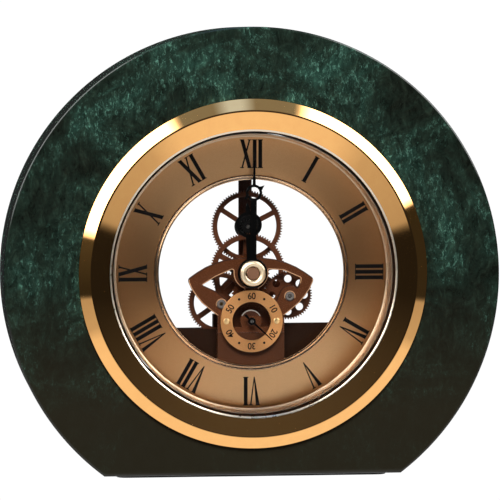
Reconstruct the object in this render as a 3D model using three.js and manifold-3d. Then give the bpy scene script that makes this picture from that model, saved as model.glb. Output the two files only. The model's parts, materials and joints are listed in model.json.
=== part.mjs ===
// Skeleton clock: a round marble slab that holds a quartz skeleton insert behind glass.
// Millimetres, +Z up, the dial faces -Y. The origin is under the middle of the base.
// Inside the dial group, x and z are measured from the dial's axis, and y is the depth
// behind the slab's front face.

import * as THREE from 'three';
import { mergeVertices } from 'three/addons/utils/BufferGeometryUtils.js';
import Module from 'manifold-3d';

const wasm = await Module();
wasm.setup();

// ------------------------------------------------------------------ driving dimensions

const SLAB_RADIUS = 84;
const SLAB_THICKNESS = 32;
const SLAB_CHAMFER = 1;
const AXIS_HEIGHT = 68.9;
const AXIS_RISE = 0.9;
const PAD_THICKNESS = 0.8;
const BORE_RADIUS = 51;

const BEZEL_RADIUS = 59;
const BEZEL_CREST_RADIUS = 55;
const BEZEL_RISE = 4.5;
const BEZEL_SIGHT_RADIUS = 48;
const GLASS_RADIUS = 49;
const HOUSING_OUTER = 49.3;
const HOUSING_INNER = 47.5;
const RING_CLEARANCE = 0.2;

const DIAL_OUTER = 47.2;
const DIAL_INNER = 31.5;
const SECONDS_RING_OUTER = 10.6;
const SECONDS_RING_INNER = 6.5;

// Depths behind the slab's front face, as [front, back].
const GLASS_DEPTH = [-1.9, -0.4];
const CAP_DEPTH = [0.7, 2.4];
const MINUTE_HAND_DEPTH = [2.5, 2.9];
const HOUR_HAND_DEPTH = [3.5, 4.0];
const SECONDS_HAND_DEPTH = [4.6, 5.0];
const SECONDS_RING_DEPTH = [5.6, 6.2];
const DIAL_DEPTH = [6.0, 7.2];
const FRONT_PLATE_DEPTH = [7.5, 9.3];
const INTERMEDIATE_DEPTH = [9.8, 10.6];
const HOUR_WHEEL_DEPTH = [9.8, 10.7];
const MOTION_WHEEL_DEPTH = [11.2, 12.1];
const SECONDS_WHEEL_DEPTH = [12.8, 13.7];
const PANEL_DEPTH = [14.2, 15.0];
const THIRD_WHEEL_DEPTH = [15.3, 16.1];
const CENTRE_WHEEL_DEPTH = [17.2, 18.2];
const TOP_WHEEL_DEPTH = [19.6, 20.8];
const BACK_PLATE_DEPTH = [25, 27];
const BOX_BACK_DEPTH = 30.2;
const COVER_DEPTH = [30.4, 31.6];
const KNOB_DEPTH = [33, 36.5];

// Gears.
const TRAIN_MODULE = 0.3;
const MOTION_MODULE = 0.4;
const ADDENDUM = 0.8;
const DEDENDUM = 1.1;
const TEETH = {
  rotorPinion: 8,
  intermediateWheel: 48,
  intermediatePinion: 10,
  secondsWheel: 50,
  secondsPinion: 7,
  thirdWheel: 70,
  thirdPinion: 14,
  centreWheel: 84,
  topPinion: 16,
  topWheel: 80,
  rightWheel: 54,
  cannonPinion: 10,
  motionWheel: 30,
  motionPinion: 8,
  hourWheel: 32,
};
const SECONDS_AXIS_DROP = 16.4;
const RIGHT_WHEEL_BEARING = 31.7;

// Where the hands point, in degrees clockwise from twelve.
const MINUTE_HAND_ANGLE = 1;
const HOUR_HAND_ANGLE = -4;
const SECONDS_HAND_ANGLE = 133;

// Battery: one AA cell lying along X.
const CELL_RADIUS = 7.25;
const CELL_LENGTH = 50.5;
const CELL_NUB_RADIUS = 2.7;
const CELL_NUB_LENGTH = 1;
const CELL_HEIGHT = -29.5;
const CELL_DEPTH = 22.8;
const BOX_HALF_WIDTH = 28.6;
const BOX_TOP = -20.4;
const BOX_BOTTOM = -38.4;
const BOX_WALL = 1.2;

// The front plate's strip, which also covers the motor.
const STRIP_HALF_WIDTH = 11.4;
const STRIP_BOTTOM = -44.3;
const STRIP_WALL = 1;

const TAU = 2 * Math.PI;

// Facets round the large rings. Rings that fit into each other share it, so their flats line up.
const ROUND = 40;

// ------------------------------------------------------------------ materials

const material = (color, roughness, metalness) => new THREE.MeshStandardMaterial({ color, roughness, metalness });
const MARBLE = material(0x24443c, 0.15, 0);
const GOLD = material(0xd9a45c, 0.12, 1);
const DIAL_GOLD = material(0xb98e5e, 0.4, 0.9);
const COPPER_PLASTIC = material(0x7a452a, 0.35, 0.3);
const DARK_PLASTIC = material(0x2a1610, 0.35, 0);
const BLACK = material(0x0b0b0c, 0.2, 0);
const RUBBER = material(0x151515, 0.9, 0);
const STEEL = material(0xb4b4b0, 0.3, 1);
const BRASS = material(0xc9a050, 0.3, 1);
const COPPER_WIRE = material(0xa8562a, 0.4, 0.9);
const BOARD_GREEN = material(0x1f5a34, 0.6, 0);
const CELL_JACKET = material(0x30343c, 0.35, 0.2);
const CLEAR = new THREE.MeshStandardMaterial({ color: 0xeef4f2, roughness: 0.05, transparent: true, opacity: 0.25 });

// ------------------------------------------------------------------ shape helpers

const radians = THREE.MathUtils.degToRad;
const polar = (radius, angle, x = 0, z = 0) =>
  new THREE.Vector2(x + radius * Math.cos(angle), z + radius * Math.sin(angle));
const corners = (pairs) => pairs.map(([x, z]) => new THREE.Vector2(x, z));

// Points along an arc, both ends included. Angles are counter-clockwise from +X.
function arc(radius, from, to, steps, x = 0, z = 0) {
  const points = [];
  for (let step = 0; step <= steps; step += 1) {
    points.push(polar(radius, from + ((to - from) * step) / steps, x, z));
  }
  return points;
}

// A whole circle, without repeating its first point.
function circle(radius, steps, x = 0, z = 0) {
  return arc(radius, 0, TAU, steps, x, z).slice(0, -1);
}

function rectangle(left, right, bottom, top) {
  return corners([[left, bottom], [right, bottom], [right, top], [left, top]]);
}

// A straight bar of an even width with round ends.
function bar(start, end, width, steps = 8) {
  const along = Math.atan2(end.z - start.z, end.x - start.x);
  const half = width / 2;
  return [
    ...arc(half, along - Math.PI / 2, along + Math.PI / 2, steps, end.x, end.z),
    ...arc(half, along + Math.PI / 2, along + (3 * Math.PI) / 2, steps, start.x, start.z),
  ];
}

// A flat piece: an outline with holes, between two depths.
function plate(outline, [front, back], holes = []) {
  const shape = new THREE.Shape(outline);
  shape.holes = holes.map((hole) => new THREE.Path(hole));
  const geometry = new THREE.ExtrudeGeometry(shape, { depth: back - front, bevelEnabled: false });
  geometry.rotateX(Math.PI / 2);
  return geometry.translate(0, back, 0);
}

// A turned piece: a profile of [radius, depth] points spun about the depth axis.
// A profile that starts on the axis also ends on it, and any other one is closed here.
function turned(profile, segments = 20) {
  const points = profile.map(([radius, depth]) => new THREE.Vector2(radius, depth));
  if (THREE.ShapeUtils.area(points) < 0) points.reverse();
  if (profile[0][0] > 0) points.push(points[0].clone());
  return new THREE.LatheGeometry(points, segments);
}

const rod = (radius, [front, back], segments = 12) =>
  turned([[0, front], [radius, front], [radius, back], [0, back]], segments);

const washer = (inner, outer, [front, back], segments = 20) =>
  turned([[inner, front], [outer, front], [outer, back], [inner, back]], segments);

// The same geometry as a solid that can be joined and cut.
function solidOf(geometry) {
  const bare = geometry.clone();
  bare.deleteAttribute('normal');
  bare.deleteAttribute('uv');
  const merged = mergeVertices(bare, 1e-4);
  const corner = merged.index.array;
  const triangles = [];
  for (let i = 0; i < corner.length; i += 3) {
    const [a, b, c] = [corner[i], corner[i + 1], corner[i + 2]];
    if (a !== b && b !== c && c !== a) triangles.push(a, b, c);
  }
  const vertProperties = new Float32Array(merged.attributes.position.array);
  const triVerts = new Uint32Array(triangles);
  return new wasm.Manifold(new wasm.Mesh({ numProp: 3, vertProperties, triVerts }));
}

function geometryOf(solid) {
  const mesh = solid.getMesh();
  const geometry = new THREE.BufferGeometry();
  geometry.setAttribute('position', new THREE.BufferAttribute(mesh.vertProperties, 3));
  geometry.setIndex(new THREE.BufferAttribute(mesh.triVerts, 1));
  geometry.computeVertexNormals();
  return geometry;
}

// One piece made of several that run into each other, less whatever is cut away.
function joined(pieces, cuts = []) {
  const whole = pieces.map(solidOf).reduce((sum, next) => sum.add(next));
  return geometryOf(cuts.map(solidOf).reduce((rest, cut) => rest.subtract(cut), whole));
}

const clock = new THREE.Group();
const dial = new THREE.Group();
dial.position.set(0, -SLAB_THICKNESS / 2, AXIS_HEIGHT);
clock.add(dial);

function add(name, geometry, finish, axis = { x: 0, z: 0 }) {
  const mesh = new THREE.Mesh(geometry, finish);
  mesh.name = name;
  mesh.position.set(axis.x, 0, axis.z);
  dial.add(mesh);
}

// ------------------------------------------------------------------ gears

const reach = (teethA, teethB, module = TRAIN_MODULE) => ((teethA + teethB) * module) / 2;

// The point at given distances from two others, on the left of the line from a to b.
function meetingPoint(a, distanceA, b, distanceB) {
  const between = Math.hypot(b.x - a.x, b.z - a.z);
  const along = (distanceA ** 2 - distanceB ** 2 + between ** 2) / (2 * between);
  const aside = Math.sqrt(distanceA ** 2 - along ** 2);
  const heading = Math.atan2(b.z - a.z, b.x - a.x);
  return {
    x: a.x + along * Math.cos(heading) - aside * Math.sin(heading),
    z: a.z + along * Math.sin(heading) + aside * Math.cos(heading),
  };
}

const CENTRE = { x: 0, z: 0 };
const SECONDS = { x: 0, z: -SECONDS_AXIS_DROP };
const THIRD = meetingPoint(
  SECONDS, reach(TEETH.secondsPinion, TEETH.thirdWheel),
  CENTRE, reach(TEETH.thirdPinion, TEETH.centreWheel),
);
const TOP = { x: 0, z: reach(TEETH.centreWheel, TEETH.topPinion) };
const rightReach = reach(TEETH.secondsWheel, TEETH.rightWheel);
const RIGHT = {
  x: rightReach * Math.cos(radians(RIGHT_WHEEL_BEARING)),
  z: SECONDS.z + rightReach * Math.sin(radians(RIGHT_WHEEL_BEARING)),
};
const INTERMEDIATE = { x: 0, z: SECONDS.z - reach(TEETH.secondsWheel, TEETH.intermediatePinion) };
const ROTOR = { x: 0, z: INTERMEDIATE.z - reach(TEETH.intermediateWheel, TEETH.rotorPinion) };
const MOTION = { x: 0, z: -reach(TEETH.cannonPinion, TEETH.motionWheel, MOTION_MODULE) };

// The angle of one tooth of a gear that runs against another one.
function meshedPhase(driver, teeth, axis) {
  const bearing = Math.atan2(axis.z - driver.axis.z, axis.x - driver.axis.x);
  const driverShare = (bearing - driver.phase) / (TAU / driver.teeth);
  return bearing + Math.PI - (TAU / teeth) * (0.5 - driverShare);
}

const gear = (teeth, axis, phase = 0, module = TRAIN_MODULE) => ({ teeth, axis, phase, module });
const meshed = (driver, teeth, axis) => gear(teeth, axis, meshedPhase(driver, teeth, axis), driver.module);

function toothRadii({ teeth, module }) {
  const pitchRadius = (teeth * module) / 2;
  return { tip: pitchRadius + ADDENDUM * module, root: pitchRadius - DEDENDUM * module };
}

// A wheel's pointed teeth, which run straight into each other at their roots.
function wheelTeeth(wheel) {
  const { tip, root } = toothRadii(wheel);
  const pitch = TAU / wheel.teeth;
  const outline = [];
  for (let tooth = 0; tooth < wheel.teeth; tooth += 1) {
    const middle = wheel.phase + tooth * pitch;
    outline.push(polar(tip, middle), polar(root, middle + pitch / 2));
  }
  return outline;
}

// A pinion's narrower teeth, with flat tips. Both half widths are shares of the pitch.
const PINION_ROOT_HALF = 0.3;
const PINION_TIP_HALF = 0.07;

function pinionTeeth(pinion) {
  const { tip, root } = toothRadii(pinion);
  const pitch = TAU / pinion.teeth;
  const outline = [];
  for (let tooth = 0; tooth < pinion.teeth; tooth += 1) {
    const middle = pinion.phase + tooth * pitch;
    outline.push(
      polar(root, middle - PINION_ROOT_HALF * pitch),
      polar(tip, middle - PINION_TIP_HALF * pitch),
      polar(tip, middle + PINION_TIP_HALF * pitch),
      polar(root, middle + PINION_ROOT_HALF * pitch),
    );
  }
  return outline;
}

// The openings between a wheel's spokes, from its hub to its rim.
function spokeWindows(count, hub, rim, spokeWidth, firstSpoke) {
  const windows = [];
  const hubInset = Math.asin(spokeWidth / 2 / hub);
  const rimInset = Math.asin(spokeWidth / 2 / rim);
  for (let spoke = 0; spoke < count; spoke += 1) {
    const from = firstSpoke + (spoke * TAU) / count;
    const to = from + TAU / count;
    windows.push([
      ...arc(hub, from + hubInset, to - hubInset, 3),
      ...arc(rim, to - rimInset, from + rimInset, 7),
    ]);
  }
  return windows;
}

// Round holes on a circle about the wheel's axis.
function ringOfHoles(count, radius, holeRadius) {
  const holes = [];
  for (let hole = 0; hole < count; hole += 1) {
    const centre = polar(radius, (hole * TAU) / count);
    holes.push(circle(holeRadius, 8, centre.x, centre.y));
  }
  return holes;
}

const secondsWheel = gear(TEETH.secondsWheel, SECONDS);
const secondsPinion = gear(TEETH.secondsPinion, SECONDS);
const rightWheel = meshed(secondsWheel, TEETH.rightWheel, RIGHT);
const intermediatePinion = meshed(secondsWheel, TEETH.intermediatePinion, INTERMEDIATE);
const intermediateWheel = gear(TEETH.intermediateWheel, INTERMEDIATE);
const rotorPinion = meshed(intermediateWheel, TEETH.rotorPinion, ROTOR);
const thirdWheel = meshed(secondsPinion, TEETH.thirdWheel, THIRD);
const thirdPinion = gear(TEETH.thirdPinion, THIRD);
const centreWheel = meshed(thirdPinion, TEETH.centreWheel, CENTRE);
const topPinion = meshed(centreWheel, TEETH.topPinion, TOP);
const topWheel = gear(TEETH.topWheel, TOP);
const cannonPinion = gear(TEETH.cannonPinion, CENTRE, 0, MOTION_MODULE);
const motionWheel = meshed(cannonPinion, TEETH.motionWheel, MOTION);
const motionPinion = gear(TEETH.motionPinion, MOTION, 0, MOTION_MODULE);
const hourWheel = meshed(motionPinion, TEETH.hourWheel, CENTRE);

// Shaft radii, and the running clearance of a hole round a turning shaft.
const FINE_ARBOR = 0.5;
const SECONDS_ARBOR = 0.6;
const CENTRE_ARBOR = 0.9;
const SEAT = 0.05;
const RUNNING = 0.15;

// ------------------------------------------------------------------ slab and insert case

// A disc with a flat base. The dial's axis is a little above the disc's own centre.
function marbleSlab() {
  const baseLine = PAD_THICKNESS - AXIS_HEIGHT;
  const corner = Math.asin((baseLine + AXIS_RISE) / SLAB_RADIUS);
  const shape = new THREE.Shape(arc(SLAB_RADIUS, corner, Math.PI - corner, 54, 0, -AXIS_RISE));
  shape.holes = [new THREE.Path(circle(BORE_RADIUS, ROUND))];
  const geometry = new THREE.ExtrudeGeometry(shape, {
    depth: SLAB_THICKNESS - 2 * SLAB_CHAMFER,
    bevelThickness: SLAB_CHAMFER,
    bevelSize: SLAB_CHAMFER,
    bevelOffset: -SLAB_CHAMFER,
    bevelSegments: 1,
  });
  geometry.rotateX(Math.PI / 2);
  return geometry.translate(0, SLAB_THICKNESS - SLAB_CHAMFER, 0);
}

function basePad() {
  const halfWidth = 46;
  const inset = 3;
  const geometry = new THREE.BoxGeometry(2 * halfWidth, SLAB_THICKNESS - 2 * inset, PAD_THICKNESS);
  return geometry.translate(0, SLAB_THICKNESS / 2, PAD_THICKNESS / 2 - AXIS_HEIGHT);
}

function bezel() {
  return turned([
    [BEZEL_RADIUS, 0],
    [BEZEL_RADIUS, -0.9],
    [BEZEL_CREST_RADIUS, -BEZEL_RISE],
    [BEZEL_SIGHT_RADIUS + 0.3, -2.6],
    [BEZEL_SIGHT_RADIUS, -2],
    [GLASS_RADIUS + 0.2, -2],
    [GLASS_RADIUS + 0.2, 0],
  ], ROUND);
}

function reflectorRing() {
  return turned([
    [HOUSING_INNER - RING_CLEARANCE, -0.3],
    [HOUSING_INNER - RING_CLEARANCE, 5.8],
    [46.4, 5.8],
    [46.9, -0.3],
  ], ROUND);
}

add('marble_slab', marbleSlab(), MARBLE);
add('base_pad', basePad(), RUBBER);
add('bezel', bezel(), GOLD);
add('front_glass', rod(GLASS_RADIUS, GLASS_DEPTH, ROUND), CLEAR);
add('reflector_ring', reflectorRing(), GOLD);
add('chapter_ring', washer(DIAL_INNER, DIAL_OUTER, DIAL_DEPTH, ROUND), DIAL_GOLD);
add('insert_housing', washer(HOUSING_INNER, HOUSING_OUTER, [0.2, SLAB_THICKNESS], ROUND), DARK_PLASTIC);
add('housing_gasket', washer(HOUSING_OUTER + SEAT, BORE_RADIUS - 0.15, [14, 17], ROUND), RUBBER);

const MOVEMENT_RING_INNER = 45.9;
const MOVEMENT_RING_DEPTH = [7.4, 14.1];
const MOVEMENT_RING_OUTER = HOUSING_INNER - RING_CLEARANCE;
add(
  'movement_ring',
  washer(MOVEMENT_RING_INNER, MOVEMENT_RING_OUTER, MOVEMENT_RING_DEPTH, ROUND),
  DARK_PLASTIC,
);

// ------------------------------------------------------------------ rear cover and its screws

const COVER_SCREWS = [
  ['left', { x: -31.5, z: -26 }],
  ['right', { x: 31.5, z: -26 }],
  ['top', { x: 0, z: 42 }],
];
const SCREW_SHANK = 0.9;
const SCREW_BORE = 1.1;
const POST_RADIUS = 2.2;
const DOOR = { left: -27.4, right: 27.4, bottom: -37, top: -21.2 };
const DOOR_GAP = 0.3;

function rearCover() {
  const doorway = rectangle(
    DOOR.left - DOOR_GAP, DOOR.right + DOOR_GAP, DOOR.bottom - DOOR_GAP, DOOR.top + DOOR_GAP,
  );
  const screwHoles = COVER_SCREWS.map(([, at]) => circle(SCREW_BORE, 12, at.x, at.z));
  const knobHole = circle(2.5, 20);
  return plate(circle(HOUSING_INNER - RING_CLEARANCE, ROUND), COVER_DEPTH, [doorway, knobHole, ...screwHoles]);
}

// A screw whose head lies behind the piece that it holds, pointing to the front.
const screw = (shank, head, tipDepth, seatDepth, headDepth) => turned([
  [0, tipDepth], [shank, tipDepth + shank / 2], [shank, seatDepth],
  [head, seatDepth], [head * 0.8, headDepth], [0, headDepth],
], 12);

function batteryDoor() {
  const grip = rectangle(-6, 6, DOOR.top - 2.6, DOOR.top - 1.4);
  return joined([
    plate(rectangle(DOOR.left, DOOR.right, DOOR.bottom, DOOR.top), COVER_DEPTH),
    plate(grip, [COVER_DEPTH[1] - 0.5, COVER_DEPTH[1] + 1]),
  ]);
}

add('rear_cover', rearCover(), CLEAR);
for (const [side, at] of COVER_SCREWS) {
  const seat = COVER_DEPTH[1] + SEAT;
  add(`cover_screw_${side}`, screw(SCREW_SHANK, 1.9, 26, seat, seat + 1), STEEL, at);
}
add('battery_door', batteryDoor(), DARK_PLASTIC);

// ------------------------------------------------------------------ front plate

const HUB_RADIUS = 6;
const TIP_CENTRE = { x: 19.8, z: -2.8 };
const TIP_RADIUS = 1.5;
const BUSH_RADIUS = 1.5;
const PLATE_BOSSES = [{ x: -8.7, z: -42.8 }, { x: 8.7, z: -42.8 }];
const PIVOT_HOLE = 0.5;

const mirrored = (points) => points.map((p) => new THREE.Vector2(-p.x, p.y)).reverse();

// Two wings with round tips above a straight strip that runs down behind the dial.
function frontPlateOutline() {
  const wing = new THREE.Path();
  wing.moveTo(STRIP_HALF_WIDTH, STRIP_BOTTOM);
  wing.lineTo(STRIP_HALF_WIDTH, -14.4);
  wing.quadraticCurveTo(19.2, -9, TIP_CENTRE.x + TIP_RADIUS * 0.94, TIP_CENTRE.z - TIP_RADIUS * 0.34);
  wing.absarc(TIP_CENTRE.x, TIP_CENTRE.z, TIP_RADIUS, radians(-20), radians(62), false);
  wing.quadraticCurveTo(10.5, 5, 0, 5);
  const right = wing.getPoints(6);
  return [...right, ...mirrored(right).slice(1)];
}

// Between the hub, the top edge and the left bush.
function leftWindow() {
  return [
    ...corners([[-11.8, -6.4], [-15.6, -5.2], [-16.4, -4.4], [-15.6, -3.5], [-11, -0.8]]),
    ...arc(HUB_RADIUS, radians(172), radians(250), 8),
    ...corners([[-4.6, -8.2], [-7.7, -9.7]]),
  ].reverse();
}

// Between the hub, the top edge and the boss round the right bush.
function rightWindow() {
  return [
    ...corners([[8.6, -9.6], [4.5, -8.6]]),
    ...arc(HUB_RADIUS, radians(-65), radians(10), 8),
    ...corners([[11, 0.6], [16.6, -1.7], [16.9, -2.6]]),
    ...arc(3.7, radians(48), radians(165), 8, RIGHT.x, RIGHT.z),
  ];
}

// A horseshoe over the seconds arbor's boss.
function horseshoeWindow() {
  const footDrop = -2.1;
  const outer = SECONDS_RING_INNER;
  const inner = 3.7;
  const outerFoot = Math.asin(footDrop / outer);
  const innerFoot = Math.asin(footDrop / inner);
  return [
    ...arc(outer, outerFoot, Math.PI - outerFoot, 16, SECONDS.x, SECONDS.z),
    ...arc(inner, Math.PI - innerFoot, innerFoot, 12, SECONDS.x, SECONDS.z),
  ];
}

function frontPlate() {
  const [front, back] = FRONT_PLATE_DEPTH;
  const wallDepth = [back - 0.2, PANEL_DEPTH[0] - 0.1];
  const wallTop = SECONDS.z - 3;
  const holes = [
    leftWindow(),
    rightWindow(),
    horseshoeWindow(),
    circle(2.5, 24),
    circle(SECONDS_ARBOR + RUNNING, 12, SECONDS.x, SECONDS.z),
    circle(BUSH_RADIUS + SEAT, 16, THIRD.x, THIRD.z),
    circle(BUSH_RADIUS + SEAT, 16, RIGHT.x, RIGHT.z),
    circle(PIVOT_HOLE, 10, INTERMEDIATE.x, INTERMEDIATE.z),
    circle(PIVOT_HOLE, 10, ROTOR.x, ROTOR.z),
  ];
  const inside = STRIP_HALF_WIDTH - STRIP_WALL;
  const pieces = [
    plate(frontPlateOutline(), FRONT_PLATE_DEPTH, holes),
    plate(rectangle(-STRIP_HALF_WIDTH, -inside, STRIP_BOTTOM, wallTop), wallDepth),
    plate(rectangle(inside, STRIP_HALF_WIDTH, STRIP_BOTTOM, wallTop), wallDepth),
    washer(SECONDS_ARBOR + RUNNING, 1.4, [front - 0.8, front + 0.2], 12).translate(SECONDS.x, 0, SECONDS.z),
    ...PLATE_BOSSES.map((at) => rod(1.5, wallDepth, 12).translate(at.x, 0, at.z)),
  ];
  const screwBores = PLATE_BOSSES.map((at) => rod(0.8, [back + 0.4, 15], 10).translate(at.x, 0, at.z));
  return joined(pieces, screwBores);
}

add('front_plate', frontPlate(), COPPER_PLASTIC);
PLATE_BOSSES.forEach((at, side) => {
  const seat = PANEL_DEPTH[1] + SEAT;
  add(`plate_screw_${side ? 'right' : 'left'}`, screw(0.7, 1.5, 10, seat, seat + 0.9), STEEL, at);
});

const BUSH_DEPTH = [FRONT_PLATE_DEPTH[0] - 0.1, FRONT_PLATE_DEPTH[1] + 0.1];
add('left_pivot_bush', washer(FINE_ARBOR + RUNNING, BUSH_RADIUS, BUSH_DEPTH, 16), STEEL, THIRD);
add('right_pivot_bush', washer(FINE_ARBOR + RUNNING, BUSH_RADIUS, BUSH_DEPTH, 16), STEEL, RIGHT);

// ------------------------------------------------------------------ seconds ring

const RIVET_OFFSET = 8.55;
const RIVET_SHANK = 0.5;

function secondsRing() {
  const holes = [-1, 1].map((side) => circle(RIVET_SHANK + SEAT, 10, side * RIVET_OFFSET, 0));
  return plate(circle(SECONDS_RING_OUTER, 36), SECONDS_RING_DEPTH, [circle(SECONDS_RING_INNER, 28), ...holes]);
}

// A stud whose collar stands the ring off the plate, with a domed head over the ring.
function secondsRivet() {
  const [front, back] = SECONDS_RING_DEPTH;
  const foot = FRONT_PLATE_DEPTH[0] - SEAT;
  return turned([
    [0, front - 0.45], [0.7, front - 0.35], [1.1, front - SEAT], [RIVET_SHANK, front - SEAT],
    [RIVET_SHANK, back + SEAT], [1.1, back + SEAT], [1.1, foot], [0, foot],
  ], 12);
}

add('seconds_ring', secondsRing(), DIAL_GOLD, SECONDS);
add('ring_rivet_left', secondsRivet(), GOLD, { x: -RIVET_OFFSET, z: SECONDS.z });
add('ring_rivet_right', secondsRivet(), GOLD, { x: RIVET_OFFSET, z: SECONDS.z });

// ------------------------------------------------------------------ back plate

const BAR_HALF_WIDTH = 2.2;
const BAR_TOP = 47;
const FOOT = { left: -11, right: 11, bottom: -20.2, top: -15.6 };
const FOOT_SCREWS = [{ x: -8, z: -17.8 }, { x: 8, z: -17.8 }];

function backPlate() {
  const depth = BACK_PLATE_DEPTH;
  const screwPost = COVER_SCREWS[2][1];
  const pieces = [
    plate(rectangle(-BAR_HALF_WIDTH, BAR_HALF_WIDTH, 0, BAR_TOP), depth),
    plate(circle(4.5, 24), depth),
    plate(bar(CENTRE, THIRD, 4), depth),
    plate(bar(CENTRE, RIGHT, 4), depth),
    plate(bar(CENTRE, SECONDS, 5), depth),
    plate(rectangle(FOOT.left, FOOT.right, FOOT.bottom, FOOT.top), depth),
    rod(POST_RADIUS, [depth[1] - 0.5, BOX_BACK_DEPTH], 16).translate(screwPost.x, 0, screwPost.z),
  ];
  const bore = (radius, axis) => rod(radius, [24, 31], 12).translate(axis.x, 0, axis.z);
  return joined(pieces, [
    bore(CENTRE_ARBOR + RUNNING, CENTRE),
    bore(FINE_ARBOR + RUNNING, THIRD),
    bore(FINE_ARBOR + RUNNING, RIGHT),
    bore(SECONDS_ARBOR + RUNNING, SECONDS),
    bore(SECONDS_ARBOR + SEAT, TOP),
    bore(SCREW_BORE, screwPost),
    ...FOOT_SCREWS.map((at) => bore(0.7, at)),
  ]);
}

add('back_plate', backPlate(), COPPER_PLASTIC);
FOOT_SCREWS.forEach((at, side) => {
  const seat = BACK_PLATE_DEPTH[0] - SEAT;
  const shape = turned([
    [0, seat - 0.9], [1.1, seat - 0.9], [1.4, seat], [0.6, seat], [0.6, 29], [0, 29.3],
  ], 12);
  add(`foot_screw_${side ? 'right' : 'left'}`, shape, STEEL, at);
});
add('top_stud', rod(SECONDS_ARBOR, [16.6, 27.2], 16), STEEL, TOP);

// ------------------------------------------------------------------ battery box, cell and contacts

// The panel across the lower part of the insert, higher on its right.
function panelOutline() {
  const radius = 47;
  const left = -19.6;
  const right = -17.8;
  const start = Math.PI - Math.asin(left / radius);
  const end = TAU + Math.asin(right / radius);
  return [...arc(radius, start, end, 28), ...corners([[STRIP_HALF_WIDTH, right], [STRIP_HALF_WIDTH, left]])];
}

function batteryBox() {
  const [front, back] = PANEL_DEPTH;
  const slotHalf = 5.8;
  const round = solidOf(rod(HOUSING_INNER - 0.3, [front - 1, BOX_BACK_DEPTH + 1], ROUND));
  const lugs = [[FOOT.left, FOOT.left + 6], [FOOT.right - 6, FOOT.right]].map(([left, right]) =>
    plate(rectangle(left, right, BOX_TOP - 0.2, FOOT.top), [BACK_PLATE_DEPTH[1] + 0.1, 29.5]));
  const posts = COVER_SCREWS.slice(0, 2).map(([, at]) =>
    rod(POST_RADIUS, [back - 0.2, BOX_BACK_DEPTH], 16).translate(at.x, 0, at.z));
  const shell = joined([
    plate(panelOutline(), PANEL_DEPTH),
    plate(rectangle(-BOX_HALF_WIDTH, BOX_HALF_WIDTH, BOX_BOTTOM, BOX_TOP), [front, BOX_BACK_DEPTH]),
    ...lugs,
    ...posts,
  ], [
    plate(
      rectangle(
        BOX_WALL - BOX_HALF_WIDTH, BOX_HALF_WIDTH - BOX_WALL, BOX_BOTTOM + BOX_WALL, BOX_TOP - BOX_WALL,
      ),
      [back, BOX_BACK_DEPTH + 1],
    ),
    plate(rectangle(THIRD.x - slotHalf, THIRD.x + slotHalf, BOX_TOP - 2, BOX_TOP + 0.5), [back, 16.4]),
    ...COVER_SCREWS.slice(0, 2).map(([, at]) => rod(SCREW_BORE, [25, 31], 12).translate(at.x, 0, at.z)),
    ...PLATE_BOSSES.map((at) => rod(0.8, [14, 16], 10).translate(at.x, 0, at.z)),
    ...FOOT_SCREWS.map((at) => rod(0.7, [24, 31], 10).translate(at.x, 0, at.z)),
    rod(PIVOT_HOLE, [14, 16], 10).translate(INTERMEDIATE.x, 0, INTERMEDIATE.z),
    rod(PIVOT_HOLE, [14, 16], 10).translate(ROTOR.x, 0, ROTOR.z),
  ]);
  return geometryOf(solidOf(shell).intersect(round));
}

// Turned about the depth axis and then laid along X, with the nub to the right.
function cell() {
  const end = CELL_LENGTH / 2;
  const shoulder = end - CELL_NUB_LENGTH;
  const geometry = turned([
    [0, -end], [CELL_RADIUS - 0.4, -end], [CELL_RADIUS, 0.4 - end], [CELL_RADIUS, shoulder - 0.4],
    [CELL_RADIUS - 0.4, shoulder], [CELL_NUB_RADIUS, shoulder], [CELL_NUB_RADIUS, end], [0, end],
  ], 24);
  return geometry.rotateZ(-Math.PI / 2).translate(0, CELL_DEPTH, 0);
}

// A flat strip with a raised middle that meets the nub.
function positiveContact() {
  const geometry = turned([
    [0, 25.55], [2, 25.55], [2.6, 26.6], [5.5, 26.6], [5.5, 26.9], [2.3, 26.9], [1.8, 25.9], [0, 25.9],
  ], 12);
  return geometry.rotateZ(-Math.PI / 2).translate(0, CELL_DEPTH, 0);
}

// A short conical spring between the box's left end and the cell.
function negativeSpring() {
  const turns = 2.2;
  const wireRadius = 0.25;
  const points = [];
  const steps = 24;
  for (let step = 0; step <= steps; step += 1) {
    const share = step / steps;
    const angle = share * turns * TAU;
    const radius = 4.6 - 2.2 * share;
    const along = -27.05 + 1.45 * share;
    points.push(new THREE.Vector3(along, CELL_DEPTH + radius * Math.cos(angle), radius * Math.sin(angle)));
  }
  const wire = new THREE.Shape(circle(wireRadius, 5));
  const path = new THREE.CatmullRomCurve3(points);
  return new THREE.ExtrudeGeometry(wire, { steps: 1.5 * steps, extrudePath: path });
}

const CELL_AXIS = { x: 0, z: CELL_HEIGHT };
add('battery_box', batteryBox(), DARK_PLASTIC);
add('battery_cell', cell(), CELL_JACKET, CELL_AXIS);
add('positive_contact', positiveContact(), STEEL, CELL_AXIS);
add('negative_spring', negativeSpring(), STEEL, CELL_AXIS);

// ------------------------------------------------------------------ stepping motor

const COIL_HEIGHT = -40.2;
const COIL_DEPTH = 12.1;
const STATOR_DEPTH = [11.8, 12.4];
const CORE_HALF = 0.7;
const BOARD_DEPTH = [9.6, 10.2];

// A flat frame with a hole for the rotor and a bar that is the coil's core.
function stator() {
  const outline = rectangle(-8.6, 8.6, COIL_HEIGHT - CORE_HALF, -31);
  const coilWindow = rectangle(-7, 7, COIL_HEIGHT + CORE_HALF, -37.6);
  return plate(outline, STATOR_DEPTH, [coilWindow, circle(2.2, 20, ROTOR.x, ROTOR.z)]);
}

const alongX = (geometry, depth) => geometry.rotateZ(-Math.PI / 2).translate(0, depth, 0);

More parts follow.
